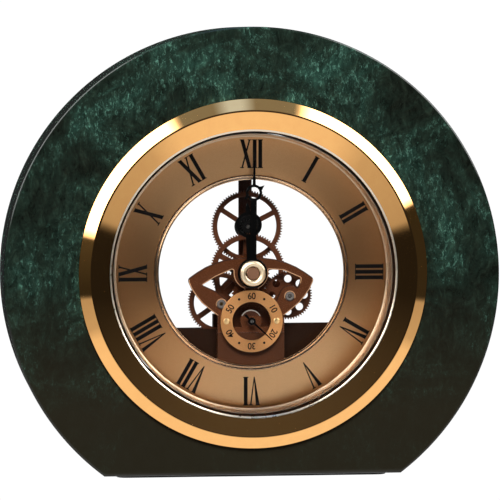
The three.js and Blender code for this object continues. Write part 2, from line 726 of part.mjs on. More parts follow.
add('circuit_board', plate(rectangle(-6.5, 6.5, -44, -36), BOARD_DEPTH), BOARD_GREEN);
add('quartz_crystal', alongX(rod(0.95, [-2.5, 2.5], 16), 11.25), STEEL, { x: 0, z: -43 });
add('drive_coil', alongX(washer(0.85, 1.6, [-6.2, 6.2], 20), COIL_DEPTH), COPPER_WIRE, { x: 0, z: COIL_HEIGHT });
add('stator', stator(), STEEL);
add('rotor_magnet', washer(0.45, 1.8, [11, 13.2], 20), STEEL, ROTOR);
add(
  'rotor_pinion',
  joined([plate(pinionTeeth(rotorPinion), [9.6, 10.8]), rod(0.38, [7.8, 14.8], 12)]),
  BLACK,
  ROTOR,
);

// ------------------------------------------------------------------ going train

const wheelPlate = (wheel, depth, bore, openings = []) =>
  plate(wheelTeeth(wheel), depth, [circle(bore, 12), ...openings]);

// A shaft with a pinion cut on it.
function pinionArbor(pinion, pinionDepth, shaftRadius, shaftDepth) {
  return joined([plate(pinionTeeth(pinion), pinionDepth), rod(shaftRadius, shaftDepth, 12)]);
}

function intermediateSet() {
  return joined([
    plate(wheelTeeth(intermediateWheel), INTERMEDIATE_DEPTH),
    plate(pinionTeeth(intermediatePinion), SECONDS_WHEEL_DEPTH),
    rod(1.1, [INTERMEDIATE_DEPTH[0], SECONDS_WHEEL_DEPTH[0] + 0.1], 12),
    rod(0.38, [7.8, 14.8], 12),
  ]);
}

const TRAIN_SHAFT_DEPTH = [7.6, 26.9];
add('intermediate_wheel', intermediateSet(), BLACK, INTERMEDIATE);
add('seconds_wheel', wheelPlate(secondsWheel, SECONDS_WHEEL_DEPTH, SECONDS_ARBOR + SEAT), COPPER_PLASTIC, SECONDS);
add(
  'seconds_arbor',
  pinionArbor(secondsPinion, [15, 16.4], SECONDS_ARBOR, [4.5, 26.9]),
  STEEL,
  SECONDS,
);
add(
  'third_wheel',
  wheelPlate(thirdWheel, THIRD_WHEEL_DEPTH, FINE_ARBOR + SEAT, spokeWindows(3, 3, 8.6, 1.8, radians(95))),
  COPPER_PLASTIC,
  THIRD,
);
add(
  'third_arbor',
  pinionArbor(thirdPinion, [17, 18.4], FINE_ARBOR, TRAIN_SHAFT_DEPTH),
  BRASS,
  THIRD,
);
add(
  'centre_wheel',
  wheelPlate(
    centreWheel, CENTRE_WHEEL_DEPTH, CENTRE_ARBOR + RUNNING, spokeWindows(5, 4.4, 10.6, 1.9, radians(80)),
  ),
  COPPER_PLASTIC,
);
add(
  'top_pinion',
  joined(
    [plate(pinionTeeth(topPinion), [17, 18.5]), rod(4.4, [18.4, 19.5], 24)],
    [rod(SECONDS_ARBOR + RUNNING, [16, 20], 12)],
  ),
  BLACK,
  TOP,
);
add(
  'top_wheel',
  wheelPlate(
    topWheel, TOP_WHEEL_DEPTH, SECONDS_ARBOR + RUNNING, spokeWindows(3, 3.4, 10.2, 1.7, radians(27)),
  ),
  COPPER_PLASTIC,
  TOP,
);
add(
  'right_wheel',
  wheelPlate(rightWheel, SECONDS_WHEEL_DEPTH, FINE_ARBOR + SEAT, ringOfHoles(8, 5.6, 1.3)),
  COPPER_PLASTIC,
  RIGHT,
);
add('right_arbor', rod(FINE_ARBOR, TRAIN_SHAFT_DEPTH, 12), STEEL, RIGHT);

// ------------------------------------------------------------------ centre arbor and motion work

const CANNON_RADIUS = 1.35;
const HOUR_PIPE_INNER = 1.5;
const HOUR_PIPE_OUTER = 2.3;

// The shaft from the minute hand to the setting knob, with a collar before the centre wheel.
function centreArbor() {
  const collar = [16.3, 17.1];
  return turned([
    [0, 1.4], [CENTRE_ARBOR, 1.4], [CENTRE_ARBOR, collar[0]], [1.8, collar[0]], [1.8, collar[1]],
    [CENTRE_ARBOR, collar[1]], [CENTRE_ARBOR, 30], [0, 30],
  ], 16);
}

// A dished spring washer that presses the centre wheel against the collar.
function clutchSpring() {
  return turned([
    [CENTRE_ARBOR + SEAT, 18.9], [2.4, 18.3], [2.6, 18.5], [1.1, 19.3], [CENTRE_ARBOR + SEAT, 19.3],
  ], 20);
}

function cannon() {
  return joined(
    [plate(pinionTeeth(cannonPinion), [11, 12.2]), rod(CANNON_RADIUS, [3.2, 11.6], 20)],
    [rod(CENTRE_ARBOR + SEAT, [3, 13], 20)],
  );
}

function hourSet() {
  return joined(
    [
      plate(wheelTeeth(hourWheel), HOUR_WHEEL_DEPTH),
      rod(HOUR_PIPE_OUTER, [3.4, HOUR_WHEEL_DEPTH[0] + 0.3], 20),
    ],
    [rod(HOUR_PIPE_INNER, [3, 13], 20)],
  );
}

function motionSet() {
  return joined(
    [
      plate(wheelTeeth(motionWheel), MOTION_WHEEL_DEPTH),
      plate(pinionTeeth(motionPinion), HOUR_WHEEL_DEPTH),
      rod(1.2, [HOUR_WHEEL_DEPTH[0] + 0.1, MOTION_WHEEL_DEPTH[0] + 0.1], 16),
    ],
    [rod(SECONDS_ARBOR + RUNNING, [9, 13], 12)],
  );
}

function settingKnob() {
  const [front, back] = KNOB_DEPTH;
  const flutes = 20;
  const grip = [];
  for (let flute = 0; flute < flutes; flute += 1) {
    const middle = (flute * TAU) / flutes;
    grip.push(polar(4.5, middle), polar(4.1, middle + TAU / flutes / 2));
  }
  return joined(
    [plate(grip, KNOB_DEPTH), rod(2, [27.6, front + 0.3], 20)],
    [rod(CENTRE_ARBOR + SEAT, [27, back - 2.5], 20)],
  );
}

add('centre_arbor', centreArbor(), STEEL);
add('clutch_spring', clutchSpring(), BRASS);
add('cannon_pinion', cannon(), BRASS);
add('hour_wheel', hourSet(), COPPER_PLASTIC);
add('motion_wheel', motionSet(), COPPER_PLASTIC, MOTION);
add(
  'motion_stud',
  turned([
    [0, 9.35], [SECONDS_ARBOR, 9.35], [SECONDS_ARBOR, 12.25], [1, 12.25], [1, 12.65], [0, 12.65],
  ], 12),
  STEEL,
  MOTION,
);
add('set_knob', settingKnob(), BLACK);

// ------------------------------------------------------------------ hands

const turnedClockwise = (geometry, angle) => geometry.rotateY(radians(angle));

// A tapered blade that points up, from one height to another.
const blade = (from, fromWidth, to, toWidth, depth) => plate(
  corners([[-fromWidth / 2, from], [fromWidth / 2, from], [toWidth / 2, to], [-toWidth / 2, to]]),
  depth,
);

const loop = (outer, inner, height, depth) => plate(circle(outer, 20, 0, height), depth, [circle(inner, 16, 0, height)]);

function minuteHand() {
  const depth = MINUTE_HAND_DEPTH;
  const barbs = [1, -1].map((side) => plate(
    side > 0 ? corners([[1.9, 28], [3.6, 28.8], [2.1, 29.4]]) : corners([[-1.9, 26.4], [-3.4, 25.8], [-2.1, 25.2]]),
    depth,
  ));
  const hand = joined([
    plate(circle(4.6, 24), depth),
    blade(4, 2.4, 24.8, 2, depth),
    loop(2.8, 1.9, 27.2, depth),
    ...barbs,
    blade(29.6, 1.1, 38.6, 0.7, depth),
  ], [rod(CENTRE_ARBOR + SEAT, [2, 3.5], 20)]);
  return turnedClockwise(hand, MINUTE_HAND_ANGLE);
}

function hourHand() {
  const depth = HOUR_HAND_DEPTH;
  const hand = joined([
    plate(circle(4.2, 24), depth),
    blade(3.6, 3.2, 12.4, 2.6, depth),
    loop(4.4, 3.2, 16.4, depth),
    blade(20.4, 1.6, 24, 0.7, depth),
  ], [rod(HOUR_PIPE_OUTER + SEAT, [3, 4.4], 24)]);
  return turnedClockwise(hand, HOUR_HAND_ANGLE);
}

function secondsHand() {
  const depth = SECONDS_HAND_DEPTH;
  const hand = joined([
    plate(circle(1.3, 20), [depth[0] - 0.1, depth[1] + 0.3]),
    blade(1, 0.7, 9.4, 0.3, depth),
    blade(-3.2, 1, -1, 0.6, depth),
  ], [rod(SECONDS_ARBOR + SEAT, [4, 6], 16)]);
  return turnedClockwise(hand, SECONDS_HAND_ANGLE);
}

// A domed ring round the nut that holds the minute hand.
function centreCap() {
  const [front, back] = CAP_DEPTH;
  return turned([[2.25, front + 0.25], [2.9, front], [3.6, front + 0.5], [4, back - 0.4], [4, back], [2.25, back]], 24);
}

function centreNut() {
  const [front, back] = CAP_DEPTH;
  return turned([
    [0, front + 0.1], [2.1, front + 0.1], [2.1, back], [CENTRE_ARBOR + SEAT, back],
    [CENTRE_ARBOR + SEAT, 1.35], [0, 1.35],
  ], 24);
}

add('minute_hand', minuteHand(), BLACK);
add('hour_hand', hourHand(), BLACK);
add('seconds_hand', secondsHand(), BLACK, SECONDS);
add('centre_cap', centreCap(), GOLD);
add('centre_nut', centreNut(), COPPER_PLASTIC);

export default clock;
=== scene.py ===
"""Looks of the marble skeleton clock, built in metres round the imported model.

Places and depths come from the frame. Shapes are drawn facing the reader of the dial: an outline
is a list of (x, z) points from its own axis, and a depth is a y coordinate.
"""

import json
import math

import bmesh
import bpy
from mathutils import Matrix, Vector


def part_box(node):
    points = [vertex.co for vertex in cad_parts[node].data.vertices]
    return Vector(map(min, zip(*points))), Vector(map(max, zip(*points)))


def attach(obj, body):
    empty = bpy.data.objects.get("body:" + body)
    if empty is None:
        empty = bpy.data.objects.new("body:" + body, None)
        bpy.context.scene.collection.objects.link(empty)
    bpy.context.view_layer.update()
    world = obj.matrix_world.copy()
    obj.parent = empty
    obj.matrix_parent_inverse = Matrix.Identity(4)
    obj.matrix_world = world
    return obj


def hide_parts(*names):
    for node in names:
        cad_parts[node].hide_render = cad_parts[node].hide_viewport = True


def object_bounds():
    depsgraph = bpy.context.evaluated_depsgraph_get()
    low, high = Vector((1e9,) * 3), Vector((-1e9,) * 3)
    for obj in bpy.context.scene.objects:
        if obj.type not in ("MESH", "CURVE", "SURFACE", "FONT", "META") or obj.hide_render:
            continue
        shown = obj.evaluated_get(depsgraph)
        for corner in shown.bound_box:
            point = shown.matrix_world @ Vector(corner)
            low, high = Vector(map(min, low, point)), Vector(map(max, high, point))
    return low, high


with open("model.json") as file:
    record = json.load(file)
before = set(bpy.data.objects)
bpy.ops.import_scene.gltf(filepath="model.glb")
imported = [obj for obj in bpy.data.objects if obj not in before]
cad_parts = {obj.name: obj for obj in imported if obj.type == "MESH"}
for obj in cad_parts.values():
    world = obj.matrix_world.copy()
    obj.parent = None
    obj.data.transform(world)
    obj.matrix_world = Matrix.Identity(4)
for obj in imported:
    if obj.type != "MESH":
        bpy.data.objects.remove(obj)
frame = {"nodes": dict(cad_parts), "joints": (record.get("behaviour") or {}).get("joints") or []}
CAD_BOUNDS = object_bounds()

MM = 0.001
TAU = 2 * math.pi
JOINTS = {joint["name"]: joint for joint in frame["joints"]}


def pivot(joint):
    """The (x, z) place of a joint's axis."""
    x, _, z = JOINTS[joint]["pos_m"]
    return x, z


def depth(node):
    """The front and back y of a CAD node."""
    low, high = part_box(node)
    return low.y, high.y


def reach(node):
    """Half the width of a CAD node."""
    low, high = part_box(node)
    return (high.x - low.x) / 2


def middle_of(node):
    """The (x, z) middle of a CAD node."""
    low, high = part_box(node)
    return (low.x + high.x) / 2, (low.z + high.z) / 2


CENTRE = pivot("minute_spin")
SECONDS = pivot("seconds_spin")
THIRD = pivot("third_spin")
RIGHT = pivot("right_spin")
SLAB_FRONT, SLAB_BACK = depth("marble_slab")


def behind(millimetres):
    """The y of a depth behind the slab's front face, given in millimetres."""
    return SLAB_FRONT + millimetres * MM


# --- camera

VIEW_DISTANCE = 1.2
AZIMUTH = math.radians(-6.5)
ELEVATION = math.radians(3.8)
LENS = 256.6
AIM_SHIFT = Vector((-1.2 * MM, 0, 8.05 * MM))


def make_camera():
    target = Vector((CENTRE[0], behind(0), CENTRE[1]))
    towards = Vector((
        math.sin(AZIMUTH) * math.cos(ELEVATION),
        -math.cos(AZIMUTH) * math.cos(ELEVATION),
        math.sin(ELEVATION),
    ))
    data = bpy.data.cameras.new("camera")
    data.lens = LENS
    camera = bpy.data.objects.new("camera", data)
    camera.location = target + towards * VIEW_DISTANCE
    line = target + AIM_SHIFT - camera.location
    camera.rotation_euler = line.to_track_quat("-Z", "Y").to_euler()
    bpy.context.collection.objects.link(camera)
    bpy.context.scene.camera = camera


# --- outlines

def polar(radius, angle, centre=(0, 0)):
    return centre[0] + radius * math.cos(angle), centre[1] + radius * math.sin(angle)


def arc(radius, start, end, steps, centre=(0, 0)):
    """Points along an arc, both ends included. Angles are in degrees, anticlockwise from +X."""
    angles = [math.radians(start + (end - start) * step / steps) for step in range(steps + 1)]
    return [polar(radius, angle, centre) for angle in angles]


def circle(radius, steps=64, centre=(0, 0)):
    return arc(radius, 0, 360, steps, centre)[:-1]


def rectangle(left, right, bottom, top):
    return [(left, bottom), (right, bottom), (right, top), (left, top)]


def millimetres(points):
    return [(x * MM, z * MM) for x, z in points]


def rounded(points, radius, steps=4):
    """The same closed outline with a curve of about that radius at every corner."""
    smooth = []
    for index, corner in enumerate(points):
        corner = Vector(corner)
        before = Vector(points[index - 1]) - corner
        after = Vector(points[(index + 1) % len(points)]) - corner
        start = corner + before * min(0.5, radius / max(before.length, 1e-9))
        end = corner + after * min(0.5, radius / max(after.length, 1e-9))
        for step in range(steps + 1):
            share = step / steps
            smooth.append(tuple(
                start * (1 - share) ** 2 + corner * 2 * share * (1 - share) + end * share ** 2
            ))
    return smooth


# --- solids

def solid_from(bm):
    bmesh.ops.remove_doubles(bm, verts=bm.verts, dist=1e-7)
    bmesh.ops.dissolve_degenerate(bm, edges=bm.edges, dist=1e-7)
    bmesh.ops.recalc_face_normals(bm, faces=bm.faces)
    mesh = bpy.data.meshes.new("solid")
    bm.to_mesh(mesh)
    bm.free()
    return mesh


def upright_mesh(curve, y):
    """The mesh of a flat curve, stood up to face the reader at a depth. The curve itself is removed."""
    drawn = bpy.data.objects.new("drawn", curve)
    bpy.context.collection.objects.link(drawn)
    bpy.context.view_layer.update()
    evaluated = drawn.evaluated_get(bpy.context.evaluated_depsgraph_get())
    mesh = bpy.data.meshes.new_from_object(evaluated)
    bpy.data.objects.remove(drawn)
    bpy.data.curves.remove(curve)
    mesh.transform(Matrix.Translation((0, y, 0)) @ Matrix.Rotation(math.pi / 2, 4, "X"))
    return mesh


def plate(outline, front, back, holes=(), bevel=0.1 * MM, steps=2):
    """A flat solid with softened edges, between two depths."""
    curve = bpy.data.curves.new("outline", "CURVE")
    curve.dimensions = "2D"
    curve.fill_mode = "BOTH"
    curve.extrude = (back - front) / 2 - bevel
    curve.bevel_depth = bevel
    curve.bevel_resolution = steps
    curve.offset = -bevel
    for line in (outline, *holes):
        spline = curve.splines.new("POLY")
        spline.points.add(len(line) - 1)
        for point, (x, z) in zip(spline.points, line):
            point.co = (x, z, 0, 1)
        spline.use_cyclic_u = True
    flat = upright_mesh(curve, (front + back) / 2)
    bm = bmesh.new()
    bm.from_mesh(flat)
    bpy.data.meshes.remove(flat)
    return solid_from(bm)


def turned(profile, segments=96):
    """A solid turned about the y axis from a closed profile of (radius, y) points."""
    bm = bmesh.new()
    rings = []
    for radius, y in profile:
        if radius < 1e-9:
            rings.append([bm.verts.new((0, y, 0))] * segments)
        else:
            rings.append([bm.verts.new((x, y, z)) for x, z in circle(radius, segments)])
    for near, far in zip(rings, rings[1:] + rings[:1]):
        for step in range(segments):
            onward = (step + 1) % segments
            corners = [near[step], near[onward], far[onward], far[step]]
            corners = [v for place, v in enumerate(corners) if v not in corners[:place]]
            if len(corners) > 2:
                bm.faces.new(corners)
    return solid_from(bm)


def ring(inner, outer, front, back, soften=0.12 * MM, segments=96):
    """A flat ring, or a disc where inner is nothing, with softened edges."""
    if inner:
        section = rounded(rectangle(inner, outer, front, back), soften)
        return turned(section, segments)
    profile = [(0, front), (outer - soften, front), (outer, front + soften)]
    profile += [(outer, back - soften), (outer - soften, back), (0, back)]
    return turned(profile, segments)


def shifted(mesh, centre):
    mesh.transform(Matrix.Translation((centre[0], 0, centre[1])))
    return mesh


def spun(mesh, degrees_clockwise):
    mesh.transform(Matrix.Rotation(math.radians(degrees_clockwise), 4, "Y"))
    return mesh


SHARP = math.radians(35)


def piece(name, meshes, material, body, replaced=()):
    """One visible piece from one or more meshes. A mesh may come with its own material."""
    bm = bmesh.new()
    materials = [material]
    for entry in meshes:
        mesh, finish = entry if isinstance(entry, tuple) else (entry, material)
        if finish not in materials:
            materials.append(finish)
        for polygon in mesh.polygons:
            polygon.material_index = materials.index(finish)
        bm.from_mesh(mesh)
        bpy.data.meshes.remove(mesh)
    for edge in bm.edges:
        edge.smooth = len(edge.link_faces) == 2 and edge.calc_face_angle() < SHARP
    for face in bm.faces:
        face.smooth = True
    joined = bpy.data.meshes.new(name)
    bm.to_mesh(joined)
    bm.free()
    for finish in materials:
        joined.materials.append(finish)
    obj = bpy.data.objects.new(name, joined)
    bpy.context.collection.objects.link(obj)
    weighted = obj.modifiers.new("even_normals", "WEIGHTED_NORMAL")
    weighted.keep_sharp = True
    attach(obj, body)
    if replaced:
        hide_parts(*replaced)
    return obj


# --- materials

def new_material(name):
    """A material with its nodes, links and shader."""
    material = bpy.data.materials.new(name)
    material.use_nodes = True
    nodes = material.node_tree.nodes
    return material, nodes, material.node_tree.links, nodes["Principled BSDF"]


def set_inputs(node, **values):
    for name, value in values.items():
        node.inputs[name.replace("_", " ")].default_value = value
    return node


def object_place(nodes, links, scale=(1, 1, 1)):
    """Object coordinates, stretched."""
    coordinates = nodes.new("ShaderNodeTexCoord")
    mapping = nodes.new("ShaderNodeMapping")
    mapping.inputs["Scale"].default_value = scale
    links.new(coordinates.outputs["Object"], mapping.inputs["Vector"])
    return mapping.outputs["Vector"]


def noise(nodes, links, vector, scale, detail=4.0, roughness=0.55, distortion=0.0):
    texture = nodes.new("ShaderNodeTexNoise")
    set_inputs(texture, Scale=scale, Detail=detail, Roughness=roughness, Distortion=distortion)
    links.new(vector, texture.inputs["Vector"])
    return texture.outputs["Fac"]


def ramp(nodes, links, factor, stops):
    """Colours at places from 0 to 1 along a factor."""
    node = nodes.new("ShaderNodeValToRGB")
    elements = node.color_ramp.elements
    while len(elements) < len(stops):
        elements.new(0.5)
    for element, (place, colour) in zip(elements, stops):
        element.position = place
        element.color = (*colour, 1)
    links.new(factor, node.inputs["Fac"])
    return node.outputs["Color"]


def spread(nodes, links, factor, low, high, to_low, to_high):
    """A factor mapped from one range to another."""
    node = nodes.new("ShaderNodeMapRange")
    for place, value in enumerate((low, high, to_low, to_high), start=1):
        node.inputs[place].default_value = value
    links.new(factor, node.inputs[0])
    return node.outputs["Result"]


def bump(nodes, links, shader, height, strength, distance):
    node = nodes.new("ShaderNodeBump")
    set_inputs(node, Strength=strength, Distance=distance)
    links.new(height, node.inputs["Height"])
    links.new(node.outputs["Normal"], shader.inputs["Normal"])


def mixed(nodes, links, kind, factor, first, second):
    """Two colours mixed in the given way. The factor is a socket or a number."""
    node = nodes.new("ShaderNodeMixRGB")
    node.blend_type = kind
    if isinstance(factor, (int, float)):
        node.inputs["Fac"].default_value = factor
    else:
        links.new(factor, node.inputs["Fac"])
    for name, colour in (("Color1", first), ("Color2", second)):
        if isinstance(colour, tuple):
            node.inputs[name].default_value = (*colour, 1)
        else:
            links.new(colour, node.inputs[name])
    return node.outputs["Color"]


def calculate(nodes, links, operation, first, second=None):
    """The output of a maths node. Each value is a socket or a number."""
    node = nodes.new("ShaderNodeMath")
    node.operation = operation
    for socket, value in zip(node.inputs, (first, second)):
        if isinstance(value, (int, float)):
            socket.default_value = value
        elif value is not None:
            links.new(value, socket)
    return node.outputs["Value"]


# Between these heights, in metres, the browner foot of the stone fades upward.
FOOT_FADE = (0.022, 0.066)


def marble():
    """Deep green polished marble: dark clouds, teal patches of short flecks, and a browner foot."""
    material, nodes, links, shader = new_material("green_marble")
    place = object_place(nodes, links)
    leaning = object_place(nodes, links, (1.0, 1.0, 0.5))
    clouds = noise(nodes, links, place, 42, 7, 0.70, 0.6)
    grain = noise(nodes, links, leaning, 360, 8, 0.80, 0.8)
    flecks = noise(nodes, links, leaning, 900, 5, 0.85, 0.6)
    ground = ramp(nodes, links, clouds, [
        (0.36, (0.010, 0.014, 0.010)), (0.52, (0.015, 0.029, 0.021)), (0.68, (0.025, 0.068, 0.051)),
    ])
    detail = ramp(nodes, links, grain, [
        (0.36, (0.30, 0.30, 0.30)), (0.54, (0.9, 0.9, 0.9)), (0.72, (2.3, 2.5, 2.4)),
    ])
    stone = mixed(nodes, links, "MULTIPLY", 0.9, ground, detail)
    sparks = ramp(nodes, links, flecks, [(0.54, (0, 0, 0)), (0.68, (0.11, 0.26, 0.20))])
    clusters = spread(nodes, links, clouds, 0.46, 0.60, 0.0, 1.0)
    stone = mixed(nodes, links, "ADD", clusters, stone, sparks)
    height = nodes.new("ShaderNodeSeparateXYZ")
    links.new(place, height.inputs["Vector"])
    foot = spread(nodes, links, height.outputs["Z"], *FOOT_FADE, 0.95, 0.0)
    stone = mixed(nodes, links, "MIX", foot, stone, (0.022, 0.019, 0.0115))
    links.new(stone, shader.inputs["Base Color"])
    shader.inputs["Specular IOR Level"].default_value = 0.3
    links.new(spread(nodes, links, grain, 0.3, 0.7, 0.10, 0.2), shader.inputs["Roughness"])
    bump(nodes, links, shader, grain, 0.05, 0.0004)
    return material


def metal(name, colour, roughness, streak=(1, 1, 1), streak_scale=900, variation=0.04, grain=0.0):
    """A metal whose roughness and tone vary along its polishing marks."""
    material, nodes, links, shader = new_material(name)
    marks = noise(nodes, links, object_place(nodes, links, streak), streak_scale, 3, 0.6)
    low = [channel * (1 - variation) for channel in colour]
    high = [min(1, channel * (1 + variation)) for channel in colour]
    links.new(ramp(nodes, links, marks, [(0.3, low), (0.7, high)]), shader.inputs["Base Color"])
    rough = spread(nodes, links, marks, 0.3, 0.7, roughness * 0.8, roughness * 1.25)
    links.new(rough, shader.inputs["Roughness"])
    set_inputs(shader, Metallic=1.0)
    if grain:
        bump(nodes, links, shader, marks, grain, 0.0002)
    return material


DIAL_DOME = 1.1


def domed_normal(nodes, links, dome):
    """The surface's normal, leaning away from the dial's axis as on a slightly domed plate."""
    outward = nodes.new("ShaderNodeVectorMath")
    outward.operation = "SUBTRACT"
    links.new(object_place(nodes, links), outward.inputs[0])
    outward.inputs[1].default_value = (CENTRE[0], 0, CENTRE[1])
    surface = nodes.new("ShaderNodeNewGeometry")
    leaning = nodes.new("ShaderNodeVectorMath")
    leaning.operation = "MULTIPLY_ADD"
    links.new(outward.outputs["Vector"], leaning.inputs[0])
    leaning.inputs[1].default_value = (dome, 0, dome)
    links.new(surface.outputs["Normal"], leaning.inputs[2])
    level = nodes.new("ShaderNodeVectorMath")
    level.operation = "NORMALIZE"
    links.new(leaning.outputs["Vector"], level.inputs[0])
    return level.outputs["Vector"]


def spun_dial():
    """Satin gilt plate, brushed in circles round its own axis."""
    material, nodes, links, shader = new_material("spun_dial")
    marks = noise(nodes, links, object_place(nodes, links), 2400, 3, 0.6)
    tone = ramp(nodes, links, marks, [(0.3, (0.70, 0.335, 0.130)), (0.7, (0.75, 0.375, 0.155))])
    links.new(tone, shader.inputs["Base Color"])
    links.new(spread(nodes, links, marks, 0.3, 0.7, 0.36, 0.40), shader.inputs["Roughness"])
    set_inputs(shader, Metallic=1.0, Anisotropic=0.8)
    shader.inputs["Anisotropic Rotation"].default_value = 0.25
    links.new(domed_normal(nodes, links, DIAL_DOME), shader.inputs["Normal"])
    round_axis = nodes.new("ShaderNodeTangent")
    round_axis.direction_type = "RADIAL"
    round_axis.axis = "Y"
    links.new(round_axis.outputs["Tangent"], shader.inputs["Tangent"])
    return material


def plastic(name, colour, roughness, metallic=0.0, grain=0.15, variation=0.15):
    """Moulded plastic with a fine texture and slightly uneven colour."""
    material, nodes, links, shader = new_material(name)
    place = object_place(nodes, links)
    fine = noise(nodes, links, place, 4000, 2)
    broad = noise(nodes, links, place, 90, 3)
    low = [channel * (1 - variation) for channel in colour]
    high = [min(1, channel * (1 + variation)) for channel in colour]
    links.new(ramp(nodes, links, broad, [(0.3, low), (0.7, high)]), shader.inputs["Base Color"])
    rough = spread(nodes, links, fine, 0.3, 0.7, roughness * 0.85, roughness * 1.15)
    links.new(rough, shader.inputs["Roughness"])
    set_inputs(shader, Metallic=metallic)
    bump(nodes, links, shader, fine, grain, 0.0001)
    return material


def dull_black(name, colour, roughness, grain=0.02):
    """Black plastic or ink with little shine."""
    material = plastic(name, colour, roughness, grain=grain)
    material.node_tree.nodes["Principled BSDF"].inputs["Specular IOR Level"].default_value = 0.15
    return material


def clear(name, roughness=0.02):
    """Thin clear sheet: seen through, with a reflection on its near face that grows at a slant."""
    material, nodes, links, shader = new_material(name)
    nodes.remove(shader)
    through = nodes.new("ShaderNodeBsdfTransparent")
    gloss = nodes.new("ShaderNodeBsdfGlossy")
    gloss.inputs["Roughness"].default_value = roughness
    slant = nodes.new("ShaderNodeFresnel")
    slant.inputs["IOR"].default_value = 1.15
    surface = nodes.new("ShaderNodeNewGeometry")
    near_face = calculate(nodes, links, "SUBTRACT", 1.0, surface.outputs["Backfacing"])
    mix = nodes.new("ShaderNodeMixShader")
    links.new(calculate(nodes, links, "MULTIPLY", slant.outputs["Fac"], near_face), mix.inputs["Fac"])
    links.new(through.outputs["BSDF"], mix.inputs[1])
    links.new(gloss.outputs["BSDF"], mix.inputs[2])
    links.new(mix.outputs["Shader"], nodes["Material Output"].inputs["Surface"])
    return material


MARBLE = marble()
GOLD = metal("polished_gold", (1.0, 0.52, 0.18), 0.045, streak_scale=300, variation=0.03)
DIAL_GOLD = spun_dial()
WALL_GOLD = metal("wall_gold", (0.55, 0.40, 0.26), 0.42, streak_scale=300, variation=0.02)
# Painted highlight: a paler metal for the bezel's lip, so that it shows as a bright line.
PALE_LIP_HIGHLIGHT = metal("pale_lip_highlight", (0.80, 0.70, 0.56), 0.3, streak_scale=300, variation=0.02)
CAP_GOLD = metal("cap_gold", (0.86, 0.70, 0.48), 0.36, streak_scale=200, variation=0.01)
NUT_COPPER = metal("nut_copper", (0.22, 0.115, 0.07), 0.42, streak_scale=200, variation=0.03)
RIVET_GOLD = metal("rivet_gold", (0.88, 0.62, 0.30), 0.38, streak_scale=200, variation=0.02)
DIAL_EDGE = metal("dial_lip", (0.60, 0.36, 0.20), 0.2)
COPPER = plastic("copper_plastic", (0.165, 0.055, 0.022), 0.26, 0.45, 0.01, 0.06)
# Painted highlight: a much lighter copy of the copper plastic, for the plate's edges that face down.
COPPER_HIGHLIGHT = plastic("copper_highlight", (0.72, 0.40, 0.21), 0.3, 0.3, 0.01, 0.05)
WHEEL_COPPER = plastic("wheel_copper", (0.16, 0.056, 0.027), 0.3, 0.4, 0.02, 0.06)
STRIP_COPPER = plastic("strip_copper", (0.075, 0.028, 0.013), 0.25, 0.0, 0.01, 0.08)
DARK_PLASTIC = plastic("dark_panel", (0.023, 0.010, 0.0055), 0.2, 0.0, 0.01, 0.08)
BLACK_PLASTIC = dull_black("black_plastic", (0.007, 0.007, 0.007), 0.35)
HAND_BLACK = dull_black("hand_black", (0.003, 0.003, 0.003), 0.14, 0.01)
PRINT_BLACK = dull_black("print_black", (0.004, 0.003, 0.003), 0.5)
RUBBER = plastic("rubber", (0.015, 0.015, 0.015), 0.85, 0.0, 0.3)
GREY_BUSH = plastic("grey_bush", (0.15, 0.135, 0.125), 0.45, 0.0, 0.02, 0.05)
# Painted highlight: pale grey for the rim of the seconds boss on the front plate.
SILVER_HIGHLIGHT = plastic("silver_highlight", (0.42, 0.38, 0.34), 0.3, 0.3, 0.01, 0.05)
# Painted shade: a darker copy of the copper plastic, for the plate's upward edges, the seconds boss and
# the back plate.
PAINTED_SHADE_COPPER = plastic("painted_shade_copper", (0.060, 0.022, 0.012), 0.28, 0.2, 0.01, 0.1)
STEEL = metal("steel", (0.50, 0.48, 0.45), 0.3, variation=0.02)
BRASS = metal("turned_brass", (0.83, 0.58, 0.26), 0.2)
BOARD = plastic("circuit_board", (0.03, 0.16, 0.06), 0.4, 0.0, 0.2)
COIL = metal("coil_wire", (0.75, 0.30, 0.13), 0.3, (40, 1, 1), 400, 0.2, 0.4)
CELL = metal("cell_sleeve", (0.10, 0.12, 0.16), 0.3, variation=0.1)
GLASS = clear("front_glass")
COVER = clear("clear_cover", 0.06)


# --- slab and insert case

SLAB_BORE = 51 * MM


def marble_slab():
    """A disc with a flat base, bored round the dial's axis."""
    radius = reach("marble_slab")
    low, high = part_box("marble_slab")
    middle = (0, high.z - radius - CENTRE[1])
    corner = math.degrees(math.asin((low.z - high.z + radius) / radius))
    outline = arc(radius, corner, 180 - corner, 220, middle)
    body = plate(outline, SLAB_FRONT, SLAB_BACK, [circle(SLAB_BORE, 160)], 0.9 * MM, 3)
    piece("marble_slab_fine", [shifted(body, CENTRE)], MARBLE, "root", ["marble_slab"])


def base_pad():
    """A thin rubber sheet with round corners, under the slab."""
    low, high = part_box("base_pad")
    outline = rounded(rectangle(low.x, high.x, low.y, high.y), 4 * MM, 8)
    sheet = plate(outline, low.z, high.z, bevel=0.2 * MM)
    sheet.transform(Matrix.Rotation(-math.pi / 2, 4, "X"))
    sheet.transform(Matrix.Diagonal((1, -1, -1, 1)))
    piece("base_pad_fine", [sheet], RUBBER, "root", ["base_pad"])


BEZEL_LIP = 48.7 * MM


